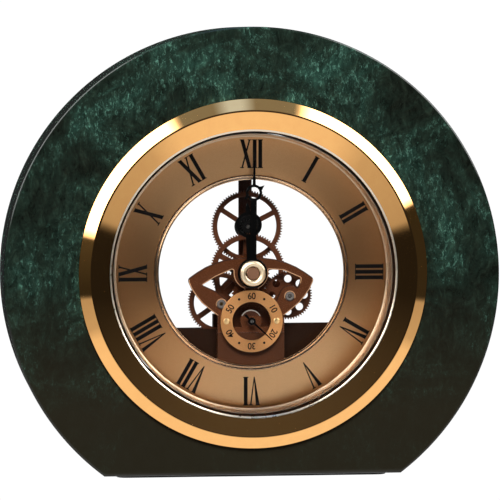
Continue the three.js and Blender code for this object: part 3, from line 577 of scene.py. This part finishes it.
def bezel():
    """Two polished bands that meet at a crest, and a lip at the glass that reflects as polished metal,
    its paler colour painted highlight for the bright line along it.
    """
    profile = millimetres([
        (59, 0), (59, -1.2), (55.2, -4.38), (54.7, -4.42), (48.5, -2.75), (48.0, -2.45),
        (48.0, -2.0), (49.2, -2.0), (49.2, 0),
    ])
    profile = rounded([(radius, y + SLAB_FRONT) for radius, y in profile], 0.16 * MM, 3)
    obj = piece("bezel_fine", [shifted(turned(profile, 256), CENTRE)], GOLD, "root", ["bezel"])
    # The lip's paler metal is painted highlight.
    obj.data.materials.append(PALE_LIP_HIGHLIGHT)
    for polygon in obj.data.polygons:
        radius = math.hypot(polygon.center.x - CENTRE[0], polygon.center.z - CENTRE[1])
        if radius < BEZEL_LIP:
            polygon.material_index = 1


def front_glass():
    front, back = depth("front_glass")
    disc = ring(0, reach("front_glass"), front, back, 0.2 * MM, 160)
    piece("glass_fine", [shifted(disc, CENTRE)], GLASS, "root", ["front_glass"])


def reflector_ring():
    """The polished wall between glass and dial, with two turned steps at the dial."""
    front, back = depth("reflector_ring")
    outer = reach("reflector_ring")
    profile = [
        (outer, front), (outer, back), (45.95 * MM, back), (45.95 * MM, back - 0.5 * MM),
        (46.45 * MM, back - 0.8 * MM), (46.45 * MM, back - 1.5 * MM), (46.75 * MM, back - 1.8 * MM),
        (46.95 * MM, front),
    ]
    wall = turned(rounded(profile, 0.08 * MM, 2), 224)
    piece("reflector_fine", [shifted(wall, CENTRE)], WALL_GOLD, "root", ["reflector_ring"])


# The bore is in millimetres. The brushed face lies this much behind the lip's front.
DIAL_BORE = 31.5
LIP_RISE = 0.3 * MM


def chapter_ring():
    """A brushed ring with a raised, rounded lip round the open centre."""
    front, back = depth("chapter_ring")
    flat = rounded(rectangle(DIAL_BORE * MM, reach("chapter_ring"), front + LIP_RISE, back), 0.05 * MM)
    lip = millimetres([
        (DIAL_BORE, 0.35), (DIAL_BORE, 0.05), (32.0, 0), (32.35, 0.25), (32.6, 0.1), (33.1, 0.1),
        (33.3, 0.35),
    ])
    lip = rounded([(radius, front + y) for radius, y in lip], 0.08 * MM, 3)
    piece(
        "chapter_ring_fine",
        [shifted(turned(flat, 192), CENTRE), (shifted(turned(lip, 192), CENTRE), DIAL_EDGE)],
        DIAL_GOLD, "root", ["chapter_ring"],
    )


HOUSING_BORE = 47.5 * MM
GASKET_BORE = 49.35 * MM
HOLDER_BORE = 45.9 * MM


def case_ring(node, bore, soften, segments):
    """A plain ring of the case, with the depth and outer size of its CAD node."""
    front, back = depth(node)
    return shifted(ring(bore, reach(node), front, back, soften, segments), CENTRE)


def case_parts():
    housing = case_ring("insert_housing", HOUSING_BORE, 0.3 * MM, 160)
    piece("housing_fine", [housing], DARK_PLASTIC, "root", ["insert_housing"])
    gasket = case_ring("housing_gasket", GASKET_BORE, 0.5 * MM, 128)
    piece("gasket_fine", [gasket], RUBBER, "root", ["housing_gasket"])
    holder = case_ring("movement_ring", HOLDER_BORE, 0.2 * MM, 160)
    piece("movement_ring_fine", [holder], DARK_PLASTIC, "root", ["movement_ring"])


# --- numerals

NUMERALS = ["XII", "I", "II", "III", "IV", "V", "VI", "VII", "VIII", "IX", "X", "XI"]
NUMERAL_FOOT = 35.4 * MM
NUMERAL_HEIGHT = 9.7 * MM
THICK = 1.28 * MM
THIN = 0.52 * MM
SERIF = 0.32 * MM
WIDTHS = {"I": 1.9 * MM, "V": 3.9 * MM, "X": 4.1 * MM}
PRINT = 0.05 * MM
PRINT_SINK = 0.02 * MM
LAYER = 0.004 * MM


def stroke(foot, head, foot_width, head_width):
    """A straight stroke between the numeral's foot and head, given by its middle at each."""
    return [
        (foot - foot_width / 2, 0), (foot + foot_width / 2, 0),
        (head + head_width / 2, NUMERAL_HEIGHT), (head - head_width / 2, NUMERAL_HEIGHT),
    ]


def serif(middle, width, at_head):
    z = NUMERAL_HEIGHT if at_head else 0
    inward = -SERIF if at_head else SERIF
    bottom, top = sorted((z, z + inward))
    return rectangle(middle - width / 2, middle + width / 2, bottom, top)


def letter(character, left):
    """The strokes of one letter whose box starts at left."""
    width = WIDTHS[character]
    middle = left + width / 2
    if character == "I":
        feet = [serif(middle, 1.75 * MM, at_head) for at_head in (False, True)]
        return [stroke(middle, middle, THICK, THICK), *feet]
    lean = width / 2 - 0.75 * MM
    if character == "V":
        return [
            stroke(middle, middle - lean, 0.3 * MM, THICK),
            stroke(middle, middle + lean, 0.3 * MM, THIN),
            serif(middle - lean, 1.5 * MM, True),
            serif(middle + lean, 1.3 * MM, True),
        ]
    return [
        stroke(middle + lean, middle - lean, THICK, THICK),
        stroke(middle - lean, middle + lean, THIN, THIN),
        serif(middle - lean, 1.5 * MM, True),
        serif(middle + lean, 1.3 * MM, True),
        serif(middle - lean, 1.3 * MM, False),
        serif(middle + lean, 1.5 * MM, False),
    ]


def on_dial(centre, degrees_clockwise, radius):
    """The matrix that moves print from the origin to its place on a dial, with its foot inward."""
    turn = Matrix.Rotation(math.radians(degrees_clockwise), 4, "Y")
    return Matrix.Translation((centre[0], 0, centre[1])) @ turn @ Matrix.Translation((0, 0, radius))


def print_layer(outlines, front, place):
    """Thin raised print: each outline a little higher than the last, so that crossings stay clean."""
    meshes = []
    for layer, outline in enumerate(outlines):
        top = front - PRINT - layer * LAYER
        mesh = plate(outline, top, front + PRINT_SINK, bevel=0.008 * MM, steps=0)
        mesh.transform(place)
        meshes.append(mesh)
    return meshes


def dial_numerals():
    face = depth("chapter_ring")[0] + LIP_RISE
    meshes = []
    for hour, text in enumerate(NUMERALS):
        width = sum(WIDTHS[character] for character in text)
        left = -width / 2
        outlines = []
        for character in text:
            outlines += letter(character, left)
            left += WIDTHS[character]
        meshes += print_layer(outlines, face, on_dial(CENTRE, 30 * hour, NUMERAL_FOOT))
    piece("dial_numerals", meshes, PRINT_BLACK, "root")


# --- seconds ring

# Blender's own type is larger than the digits in it by this factor.
TYPE_PER_DIGIT = 1.36
NARROWED = 0.92
DIGIT_HEIGHT = 2.3 * MM
DIGIT_RADIUS = 7.45 * MM
MARK_RADIUS = 8.55 * MM
SECONDS_BORE = 6.5 * MM
DOT_RADIUS = 0.42 * MM
RIVET_STEM = 0.55 * MM
RIVET_HEAD = 1.1 * MM
RIVET_DOME = 0.45 * MM


def figures(text, front, place):
    """A generic number as thin raised print, made from Blender's own built-in type."""
    curve = bpy.data.curves.new("figures", "FONT")
    curve.body = text
    curve.size = DIGIT_HEIGHT * TYPE_PER_DIGIT
    curve.align_x = "CENTER"
    curve.extrude = PRINT / 2
    curve.offset = 0.045 * MM
    curve.space_character = 0.95
    mesh = upright_mesh(curve, front - PRINT / 2)
    mesh.transform(place @ Matrix.Diagonal((NARROWED, 1, 1, 1)))
    return mesh


def seconds_ring():
    """A flat gilt ring with a hole for each rivet, its tens of seconds and a dot between some of them."""
    front, back = depth("seconds_ring")
    outer = reach("seconds_ring")
    rivet_holes = [circle(RIVET_STEM, 20, (side * MARK_RADIUS, 0)) for side in (-1, 1)]
    body = plate(circle(outer, 144), front, back, [circle(SECONDS_BORE, 112), *rivet_holes], 0.12 * MM, 2)
    piece("seconds_ring_fine", [shifted(body, SECONDS)], DIAL_GOLD, "root", ["seconds_ring"])
    print_meshes = []
    for step in range(6):
        place = on_dial(SECONDS, 60 * step, DIGIT_RADIUS)
        print_meshes.append(figures(str(10 * step or 60), front, place))
    for degrees in (30, 150, 210, 330):
        dot = ring(0, DOT_RADIUS, front - PRINT, front + PRINT_SINK, 0.01 * MM, 20)
        dot.transform(on_dial(SECONDS, degrees, MARK_RADIUS))
        print_meshes.append(dot)
    piece("seconds_figures", print_meshes, PRINT_BLACK, "root")


def ring_rivets():
    """Low domes on the ring, on stems that widen behind it."""
    seat, ring_back = depth("seconds_ring")
    shoulder = ring_back + 0.05 * MM
    for side in ("left", "right"):
        node = f"ring_rivet_{side}"
        foot = depth(node)[1]
        dome = []
        for degrees in (0, 20, 40, 60, 75):
            angle = math.radians(degrees)
            dome.append((RIVET_HEAD * math.cos(angle), seat - RIVET_DOME * math.sin(angle)))
        profile = [
            *dome, (0, seat - RIVET_DOME), (0, foot), (RIVET_HEAD, foot),
            (RIVET_HEAD, shoulder), (0.5 * MM, shoulder), (0.5 * MM, seat),
        ]
        rivet = shifted(turned(profile, 40), middle_of(node))
        piece(f"{node}_fine", [rivet], RIVET_GOLD, "root", [node])


# --- front plate

# The named sizes of this section are in millimetres, and the places among them from the dial's axis.
HUB = 6.0
BOSS = 3.7
STRIP_HALF_WIDTH = 11.4
STRIP_TOP = -20.5
STRIP_FOOT = -44.3
WALL_INSIDE = 10.4
WALL_OUTSIDE = 11.38
WALL_FOOT = -44.2
WALL_TOP = -19.4
PIVOT_HOLE = 0.5
BUSH_HOLE = 1.55
BUSH_OUTSIDE = 1.5
BUSH_BORE = 0.62
# The plate's edges get painted highlight and painted shade above the first height. The second is from the
# seconds axis.
EDGED_ABOVE = -14.8
BOSS_FOOT = -2.3


def local(point):
    """A place in the frame as (x, z) from the dial's axis."""
    return point[0] - CENTRE[0], point[1] - CENTRE[1]


def front_plate_outline():
    """Half an eye: a low arch above, and a curve that runs down into the strip."""
    right = [
        (STRIP_HALF_WIDTH, STRIP_TOP), (STRIP_HALF_WIDTH, -16), (STRIP_HALF_WIDTH, -14.6),
        (14.2, -12.4), (16.6, -10.4), (18.6, -8.0), (20.2, -5.6), *arc(1.5, -20, 62, 10, (19.8, -2.8)),
        (18.4, 0.0), (15.5, 1.75), (12.2, 3.2), (8.4, 4.3), (4.4, 4.85),
    ]
    left = [(-x, z) for x, z in reversed(right)]
    return millimetres([*right, (0, 5.0), *left])


def left_window():
    return rounded([
        (-16.6, -4.2), (-12, -1.4), (-6.6, 1.0), *arc(HUB, 172, 250, 10),
        (-4.6, -8.2), (-7.7, -9.7), (-11.8, -6.4),
    ], 0.5)


def right_window():
    boss_centre = [value / MM for value in local(RIGHT)]
    return rounded([
        (8.6, -9.6), (4.5, -8.6), *arc(HUB, -65, 10, 10), (11.2, 0.6), (17.0, -2.0), (16.6, -4.0),
        *arc(BOSS, 48, 165, 12, boss_centre),
    ], 0.4)


def horseshoe_window():
    """A horseshoe over the boss of the seconds arbor."""
    centre = [value / MM for value in local(SECONDS)]
    foot = -2.1
    outer = SECONDS_BORE / MM
    outer_foot = math.degrees(math.asin(foot / outer))
    inner_foot = math.degrees(math.asin(foot / BOSS))
    return [
        *arc(outer, outer_foot, 180 - outer_foot, 40, centre),
        *arc(BOSS, 180 - inner_foot, inner_foot, 28, centre),
    ]


def strip_parts(front, back, wall_back):
    """The strip below the plate, its two side walls, and the bosses that hold the screws from behind."""
    pivot_holes = [
        circle(PIVOT_HOLE * MM, 24, local(pivot(joint))) for joint in ("intermediate_spin", "rotor_spin")
    ]
    outline = millimetres(rectangle(-STRIP_HALF_WIDTH, STRIP_HALF_WIDTH, STRIP_FOOT, STRIP_TOP))
    parts = [plate(outline, front, back, pivot_holes, 0.2 * MM)]
    for side in (-1, 1):
        left, right = sorted((side * WALL_INSIDE, side * WALL_OUTSIDE))
        wall = millimetres(rectangle(left, right, WALL_FOOT, WALL_TOP))
        parts.append(plate(wall, back - 0.2 * MM, wall_back))
    for side in ("left", "right"):
        boss = ring(0.8 * MM, 1.5 * MM, back - 0.2 * MM, wall_back)
        parts.append(shifted(boss, local(middle_of(f"plate_screw_{side}"))))
    return parts


def front_plate():
    front = behind(7.5)
    back = behind(9.3)
    holes = [
        millimetres(left_window()),
        millimetres(right_window()),
        millimetres(horseshoe_window()),
        circle(2.5 * MM, 48),
        circle(0.75 * MM, 24, local(SECONDS)),
        circle(BUSH_HOLE * MM, 32, local(THIRD)),
        circle(BUSH_HOLE * MM, 32, local(RIGHT)),
    ]
    flat = plate(front_plate_outline(), front, back, holes, 0.36 * MM, 1)
    collar = ring(0.75 * MM, 1.5 * MM, behind(6.7), front + 0.2 * MM, 0.1 * MM, 40)
    meshes = [shifted(flat, CENTRE), shifted(collar, SECONDS)]
    for part in strip_parts(front, back, depth("front_plate")[1]):
        meshes.append((shifted(part, CENTRE), STRIP_COPPER))
    obj = piece("front_plate_fine", meshes, COPPER, "root", ["front_plate"])
    # Painted highlight and painted shade on the front edges of the plate.
    colour_plate_edges(obj, front + 0.45 * MM)


def colour_plate_edges(obj, edge_back):
    """Paints highlight on the slanting front edges that face down and on the seconds boss's rim, and
    paints shade on the edges that face up and on the boss's face, as if lit from below.
    """
    materials = obj.data.materials
    for finish in (COPPER_HIGHLIGHT, SILVER_HIGHLIGHT, PAINTED_SHADE_COPPER):
        materials.append(finish)
    copper_highlight, silver_highlight, painted_shade = range(len(materials) - 3, len(materials))
    for polygon in obj.data.polygons:
        x, y, z = polygon.center
        if y > edge_back or z < CENTRE[1] + EDGED_ABOVE * MM:
            continue
        slanting = 0.3 < -polygon.normal.y < 0.95
        from_seconds = math.hypot(x - SECONDS[0], z - SECONDS[1])
        on_boss = from_seconds < (BOSS + 0.1) * MM and z > SECONDS[1] + BOSS_FOOT * MM
        # Painted highlight on the boss rim and the downward edges, painted shade on the upward edges and
        # the boss.
        if slanting and on_boss:
            polygon.material_index = silver_highlight
        elif slanting and polygon.normal.z < 0.12:
            polygon.material_index = copper_highlight
        elif slanting or on_boss:
            polygon.material_index = painted_shade


def pivot_bushes():
    for side, centre in (("left", THIRD), ("right", RIGHT)):
        node = f"{side}_pivot_bush"
        front, back = depth(node)
        bush = ring(BUSH_BORE * MM, BUSH_OUTSIDE * MM, front, back, 0.3 * MM, 40)
        piece(f"{node}_fine", [shifted(bush, centre)], GREY_BUSH, "root", [node])


# --- wheels

def teeth_of(node, centre):
    """How many teeth a wheel has, the angle of one of them, and its tip radius."""
    front = depth(node)[0]
    places = []
    for vertex in frame["nodes"][node].data.vertices:
        x = vertex.co.x - centre[0]
        z = vertex.co.z - centre[1]
        if abs(vertex.co.y - front) < 0.02 * MM:
            places.append((math.hypot(x, z), math.atan2(z, x)))
    tip = max(radius for radius, _ in places)
    angles = sorted({round(angle, 4) for radius, angle in places if radius > tip - 0.05 * MM})
    return len(angles), angles[0], tip


TOOTH_HEIGHT = 0.57 * MM
TOOTH_TIP = 0.11
TOOTH_FOOT = 0.36


def gear_outline(count, phase, tip):
    """Straight-sided teeth. Half the width of a tip and of a foot are shares of the pitch."""
    root = tip - TOOTH_HEIGHT
    pitch = TAU / count
    outline = []
    for tooth in range(count):
        middle = phase + tooth * pitch
        outline.append(polar(tip, middle - TOOTH_TIP * pitch))
        outline.append(polar(tip, middle + TOOTH_TIP * pitch))
        outline.append(polar(root, middle + TOOTH_FOOT * pitch))
        outline.append(polar(root, middle + (1 - TOOTH_FOOT) * pitch))
    return outline


def spoke_windows(count, hub, rim, width, first):
    """The openings between straight spokes. The first spoke stands at an angle in degrees."""
    windows = []
    hub_inset = math.degrees(math.asin(width / 2 / hub))
    rim_inset = math.degrees(math.asin(width / 2 / rim))
    for spoke in range(count):
        start = first + spoke * 360 / count
        end = start + 360 / count
        inner_side = arc(hub, start + hub_inset, end - hub_inset, 10)
        outer_side = arc(rim, end - rim_inset, start + rim_inset, 20)
        windows.append(rounded(inner_side + outer_side, 0.3 * MM, 2))
    return windows


def wheel(node, joint, body, bore, windows, rim, hub):
    """A wheel: its toothed plate, a raised ring inside the teeth and a raised hub."""
    centre = pivot(joint)
    front, back = depth(node)
    count, phase, tip = teeth_of(node, centre)
    web_front = front + 0.18 * MM
    holes = [circle(bore, 24), *windows]
    disc = plate(gear_outline(count, phase, tip), web_front, back, holes, 0.06 * MM, 1)
    raised = ring(rim, tip - 0.75 * MM, front, web_front + 0.1 * MM, 0.12 * MM, 128)
    boss = ring(bore, hub, front, web_front + 0.1 * MM, 0.12 * MM, 64)
    meshes = [shifted(mesh, centre) for mesh in (disc, raised, boss)]
    piece(f"{node}_fine", meshes, WHEEL_COPPER, body, [node])


def wheels():
    wheel(
        "top_wheel", "top_spin", "top_work", bore=0.75 * MM,
        windows=spoke_windows(3, hub=3.4 * MM, rim=10.2 * MM, width=1.7 * MM, first=27),
        rim=10.3 * MM, hub=3.2 * MM,
    )
    wheel(
        "centre_wheel", "centre_wheel_spin", "centre_work", bore=1.05 * MM,
        windows=spoke_windows(5, hub=4.4 * MM, rim=10.6 * MM, width=1.9 * MM, first=80),
        rim=10.7 * MM, hub=3.6 * MM,
    )
    wheel(
        "third_wheel", "third_spin", "third_work", bore=0.55 * MM,
        windows=spoke_windows(3, hub=3.0 * MM, rim=8.6 * MM, width=1.8 * MM, first=95),
        rim=8.7 * MM, hub=2.4 * MM,
    )
    wheel(
        "right_wheel", "right_spin", "right_work", bore=0.55 * MM,
        windows=[circle(1.3 * MM, 24, polar(5.6 * MM, TAU * hole / 8)) for hole in range(8)],
        rim=7.15 * MM, hub=2.4 * MM,
    )
    wheel(
        "seconds_wheel", "seconds_spin", "seconds_work", bore=0.65 * MM,
        windows=[], rim=6.3 * MM, hub=2.2 * MM,
    )


# --- hands and cap

def hand_outline(hub, stem_base, stem_top, loop_height, loop_outer, lance_base, tip_height, barbs=False):
    """A pierced hand that points up: round hub, straight stem, loop and slim lance."""
    stem_angle = math.degrees(math.asin(stem_base / 2 / hub))
    foot_angle = math.degrees(math.asin(stem_top / 2 / loop_outer))
    lance_angle = math.degrees(math.asin(lance_base / 2 / loop_outer))
    centre = (0, loop_height)
    right_side = arc(loop_outer, -90 + foot_angle, 90 - lance_angle, 22, centre)
    left_side = arc(loop_outer, 90 + lance_angle, 270 - foot_angle, 22, centre)
    if barbs:
        right_side = [
            *arc(loop_outer, -90 + foot_angle, 18, 10, centre),
            polar(loop_outer * 1.55, math.radians(36), centre),
            polar(loop_outer * 1.12, math.radians(44), centre),
            *arc(loop_outer, 50, 90 - lance_angle, 6, centre),
        ]
        left_side = [
            *arc(loop_outer, 90 + lance_angle, 196, 10, centre),
            polar(loop_outer * 1.45, math.radians(214), centre),
            polar(loop_outer * 1.1, math.radians(224), centre),
            *arc(loop_outer, 232, 270 - foot_angle, 5, centre),
        ]
    hub_arc = arc(hub, 90 + stem_angle, 450 - stem_angle, 60)
    lance_foot = (lance_base / 2 * 0.9, loop_height + loop_outer + 1.2)
    lance_tip = (0.3, tip_height - 0.6)
    lance = [lance_foot, lance_tip, (0, tip_height)]
    mirrored = [(-x, z) for x, z in (lance_tip, lance_foot)]
    return millimetres([*hub_arc, *right_side, *lance, *mirrored, *left_side])


def minute_hand():
    front, back = depth("minute_hand")
    loop_height = 27.2
    outline = hand_outline(
        hub=5.1, stem_base=2.4, stem_top=2.0, loop_height=loop_height, loop_outer=2.8,
        lance_base=1.1, tip_height=38.6, barbs=True,
    )
    holes = [circle(0.95 * MM, 24), circle(1.9 * MM, 32, (0, loop_height * MM))]
    blade = shifted(spun(plate(outline, front, back, holes, 0.13 * MM, 2), 1), CENTRE)
    piece("minute_hand_fine", [blade], HAND_BLACK, "minute_work", ["minute_hand"])


def hour_hand():
    front, back = depth("hour_hand")
    loop_height = 16.4
    outline = hand_outline(
        hub=4.2, stem_base=3.2, stem_top=2.6, loop_height=loop_height, loop_outer=4.4,
        lance_base=1.6, tip_height=24.0,
    )
    holes = [circle(2.35 * MM, 32), circle(3.2 * MM, 40, (0, loop_height * MM))]
    blade = shifted(spun(plate(outline, front, back, holes, 0.15 * MM, 2), -4), CENTRE)
    piece("hour_hand_fine", [blade], HAND_BLACK, "hour_work", ["hour_hand"])


def seconds_hand():
    front, back = depth("seconds_hand")
    meshes = [ring(0.65 * MM, 1.3 * MM, front, back, 0.12 * MM, 40)]
    needle = [(-0.35, 1.0), (0.35, 1.0), (0.15, 9.4), (-0.15, 9.4)]
    tail = [(-0.5, -3.2), (0.5, -3.2), (0.3, -1.0), (-0.3, -1.0)]
    for outline in (needle, tail):
        meshes.append(plate(millimetres(outline), front + 0.1 * MM, back - 0.3 * MM, bevel=0.05 * MM))
    turned_meshes = [shifted(spun(mesh, 133), SECONDS) for mesh in meshes]
    piece("seconds_hand_fine", turned_meshes, HAND_BLACK, "seconds_work", ["seconds_hand"])


def centre_cap():
    """A domed gilt collar and the copper nut in its middle, both on the minute arbor."""
    front, back = depth("centre_cap")
    bore = 2.25 * MM
    crest_radius = 3.3 * MM
    swell = 1.05 * MM
    rise = 0.75 * MM
    profile = [(bore, front + 0.35 * MM)]
    for step in range(13):
        angle = math.radians(180 - 15 * step)
        profile.append((crest_radius + swell * math.cos(angle), front + rise - rise * math.sin(angle)))
    profile += [(crest_radius + swell, back), (bore, back)]
    cap = shifted(turned(profile, 96), CENTRE)
    piece("centre_cap_fine", [cap], CAP_GOLD, "minute_work", ["centre_cap"])
    front, back = depth("centre_nut")
    nut = shifted(ring(0, 2.1 * MM, front, behind(1.3), 0.15 * MM, 64), CENTRE)
    skirt = shifted(ring(0.95 * MM, 2.1 * MM, behind(1.25), back, 0.05 * MM, 64), CENTRE)
    piece("centre_nut_fine", [nut, skirt], NUT_COPPER, "minute_work", ["centre_nut"])


# --- everything that keeps its CAD shape

# Each row is a material, the width of the softened edges, and the nodes that get them.
KEPT_NODES = [
    (COPPER, 0.12 * MM, ["hour_wheel", "motion_wheel"]),
    # The back plate takes the darker copy of the copper plastic: painted shade.
    (PAINTED_SHADE_COPPER, 0.12 * MM, ["back_plate"]),
    (DARK_PLASTIC, 0.25 * MM, ["battery_box", "battery_door"]),
    (BLACK_PLASTIC, 0.12 * MM, ["intermediate_wheel", "rotor_pinion", "set_knob", "top_pinion"]),
    (BRASS, 0.05 * MM, ["third_arbor", "cannon_pinion", "clutch_spring"]),
    (STEEL, 0.06 * MM, ["top_stud", "motion_stud", "seconds_arbor", "right_arbor", "centre_arbor"]),
    (STEEL, 0.06 * MM, ["stator", "rotor_magnet", "quartz_crystal", "positive_contact"]),
    (STEEL, 0.1 * MM, ["plate_screw_left", "plate_screw_right", "foot_screw_left", "foot_screw_right"]),
    (STEEL, 0.1 * MM, ["cover_screw_left", "cover_screw_right", "cover_screw_top"]),
    (STEEL, 0, ["negative_spring"]),
    (BOARD, 0.12 * MM, ["circuit_board"]),
    (COIL, 0.2 * MM, ["drive_coil"]),
    (CELL, 0.3 * MM, ["battery_cell"]),
    (COVER, 0.1 * MM, ["rear_cover"]),
]


def finish_node(node, material, bevel):
    """Gives a CAD node its own material and softened edges."""
    obj = frame["nodes"][node]
    obj.data.materials.clear()
    obj.data.materials.append(material)
    if bevel:
        soft = obj.modifiers.new("soft_edges", "BEVEL")
        soft.width = bevel
        soft.segments = 2
        soft.limit_method = "ANGLE"
        soft.angle_limit = math.radians(32)
        soft.use_clamp_overlap = True


def kept_nodes():
    for material, bevel, nodes in KEPT_NODES:
        for node in nodes:
            finish_node(node, material, bevel)


# --- stage and light

BACKGROUND = 1.04


def make_floor():
    """A plain white floor under the clock, as bright as the background behind it."""
    bm = bmesh.new()
    bmesh.ops.create_circle(bm, cap_ends=True, radius=3, segments=96)
    mesh = bpy.data.meshes.new("floor")
    bm.to_mesh(mesh)
    bm.free()
    material, nodes, links, shader = new_material("white_floor")
    nodes.remove(shader)
    glow = nodes.new("ShaderNodeEmission")
    glow.inputs["Strength"].default_value = BACKGROUND
    links.new(glow.outputs["Emission"], nodes["Material Output"].inputs["Surface"])
    mesh.materials.append(material)
    floor = bpy.data.objects.new("floor", mesh)
    floor.location = (0, 0, CAD_BOUNDS[0][2] - 0.01 * MM)
    floor.visible_glossy = False
    floor.visible_diffuse = False
    floor.visible_shadow = False
    bpy.context.collection.objects.link(floor)


def area_light(name, place, aim, width, height, power, colour=(1, 1, 1)):
    data = bpy.data.lights.new(name, "AREA")
    data.shape = "RECTANGLE"
    data.size = width
    data.size_y = height
    data.energy = power
    data.color = colour
    light = bpy.data.objects.new(name, data)
    light.location = place
    light.rotation_euler = (Vector(aim) - Vector(place)).to_track_quat("-Z", "Y").to_euler()
    light.visible_camera = False
    bpy.context.collection.objects.link(light)
    return light


# What polished metal sees round the clock, in the clock's own plane: (angle anticlockwise from +X in
# degrees, light). Two softboxes stand left and right of a dim ceiling, over a dark horizon.
HORIZON = (0.035, 0.035, 0.03)
SOFTBOX = (7, 7, 7)
CEILING = (0.24, 0.30, 0.36)
CEILING_LAMP = (0.6, 0.95, 1.7)
SIDE_LIGHTS = [
    (-8, HORIZON), (17, HORIZON), (20, SOFTBOX), (62, SOFTBOX), (68, CEILING), (83, CEILING),
    (88, CEILING_LAMP), (93, CEILING_LAMP), (98, CEILING), (112, CEILING), (118, SOFTBOX), (166, SOFTBOX),
    (170, (0.08, 0.08, 0.07)), (188, HORIZON),
]
# The floor's light at heights below the horizon, as the z of a direction.
FLOOR_LIGHTS = [(-0.56, 1.0), (-0.46, 0.92), (-0.40, 0.60), (-0.22, 0.50), (-0.185, 0.0)]
# The wall in front of the clock, low down and high up, and the wall behind it.
FRONT_WALL = (0.018, 0.09)
DARK_WALL = 0.025


def room_light(nodes, links):
    """The light that polished metal meets in each direction of the room, with its strength."""
    tallest = max(max(light) for _, light in SIDE_LIGHTS)

    def grey(light):
        return tuple([light / tallest] * 3)

    direction = nodes.new("ShaderNodeTexCoord")
    split = nodes.new("ShaderNodeSeparateXYZ")
    links.new(direction.outputs["Generated"], split.inputs["Vector"])
    x, y, z = split.outputs
    angle = calculate(nodes, links, "ARCTAN2", z, x)
    turned_up = calculate(nodes, links, "ADD", angle, math.pi / 2)
    within_turn = calculate(nodes, links, "FLOORED_MODULO", turned_up, TAU)
    sides = ramp(nodes, links, calculate(nodes, links, "DIVIDE", within_turn, TAU), [
        ((degrees + 90) / 360, [channel / tallest for channel in light]) for degrees, light in SIDE_LIGHTS
    ])
    in_front = spread(nodes, links, y, -0.62, -0.5, 1.0, 0.0)
    behind_clock = spread(nodes, links, y, 0.3, 0.45, 0.0, 1.0)
    high = spread(nodes, links, z, 0.0, 0.45, 0.0, 1.0)
    front = ramp(nodes, links, high, [(0, grey(FRONT_WALL[0])), (1, grey(FRONT_WALL[1]))])
    in_room = mixed(nodes, links, "MIX", in_front, sides, front)
    above = mixed(nodes, links, "MIX", behind_clock, in_room, grey(DARK_WALL))
    lowest = FLOOR_LIGHTS[0][0]
    depth_below = calculate(nodes, links, "DIVIDE", z, lowest)
    floor = ramp(nodes, links, depth_below, [
        (height / lowest, grey(light)) for height, light in reversed(FLOOR_LIGHTS)
    ])
    below = spread(nodes, links, z, -0.215, -0.185, 1.0, 0.0)
    return mixed(nodes, links, "MIX", below, above, floor), tallest


def make_world():
    """White to the eye, a soft even light on matt faces, and a dark room with cards for gloss."""
    world = bpy.data.worlds.new("studio")
    world.use_nodes = True
    world.cycles.sampling_method = "NONE"
    nodes = world.node_tree.nodes
    links = world.node_tree.links
    seen = nodes["Background"]
    seen.inputs["Color"].default_value = (1, 1, 1, 1)
    seen.inputs["Strength"].default_value = BACKGROUND
    gloss = nodes.new("ShaderNodeBackground")
    light, strength = room_light(nodes, links)
    links.new(light, gloss.inputs["Color"])
    gloss.inputs["Strength"].default_value = strength
    matt = nodes.new("ShaderNodeBackground")
    matt.inputs["Strength"].default_value = 0.25
    kind = nodes.new("ShaderNodeLightPath")
    for_gloss = nodes.new("ShaderNodeMixShader")
    links.new(kind.outputs["Is Glossy Ray"], for_gloss.inputs["Fac"])
    links.new(matt.outputs["Background"], for_gloss.inputs[1])
    links.new(gloss.outputs["Background"], for_gloss.inputs[2])
    for_eye = nodes.new("ShaderNodeMixShader")
    links.new(kind.outputs["Is Camera Ray"], for_eye.inputs["Fac"])
    links.new(for_gloss.outputs["Shader"], for_eye.inputs[1])
    links.new(seen.outputs["Background"], for_eye.inputs[2])
    links.new(for_eye.outputs["Shader"], nodes["World Output"].inputs["Surface"])
    bpy.context.scene.world = world


def shine_only_on(light, names):
    """Keeps a light to the named pieces."""
    lit = bpy.data.collections.new(f"{light.name}_receivers")
    for name in names:
        lit.objects.link(bpy.data.objects[name])
    light.light_linking.receiver_collection = lit


def make_lights():
    heart = (CENTRE[0], behind(0), CENTRE[1])
    key = area_light("high_key", (-0.06, -0.66, 0.64), heart, 0.45, 0.35, 9.0, (1.0, 0.98, 0.95))
    key.visible_glossy = False
    rear = area_light("rear_fill", (0.35, 0.95, 0.55), heart, 0.6, 0.6, 9.0)
    rear.visible_glossy = False
    glow = area_light("low_right_glow", (0.40, -0.9, -0.12), heart, 0.45, 0.35, 1.2, (1.0, 0.95, 0.85))
    shine_only_on(glow, ["seconds_ring_fine", "ring_rivet_left_fine", "ring_rivet_right_fine"])
    sheen = area_light("dial_sheen", (0.30, -0.92, -0.42), heart, 0.9, 0.25, 1.85, (0.68, 1.0, 1.42))
    shine_only_on(sheen, ["chapter_ring_fine", "reflector_fine"])
    cap_light = area_light("cap_light", (-0.15, -0.9, 0.35), heart, 0.3, 0.3, 4.8, (1.0, 0.96, 0.90))
    shine_only_on(cap_light, ["centre_cap_fine", "centre_nut_fine"])


bpy.context.scene.view_settings.view_transform = "Standard"
make_camera()
make_world()
make_floor()
marble_slab()
base_pad()
bezel()
front_glass()
reflector_ring()
chapter_ring()
case_parts()
dial_numerals()
seconds_ring()
ring_rivets()
front_plate()
pivot_bushes()
wheels()
minute_hand()
hour_hand()
seconds_hand()
centre_cap()
kept_nodes()
make_lights()
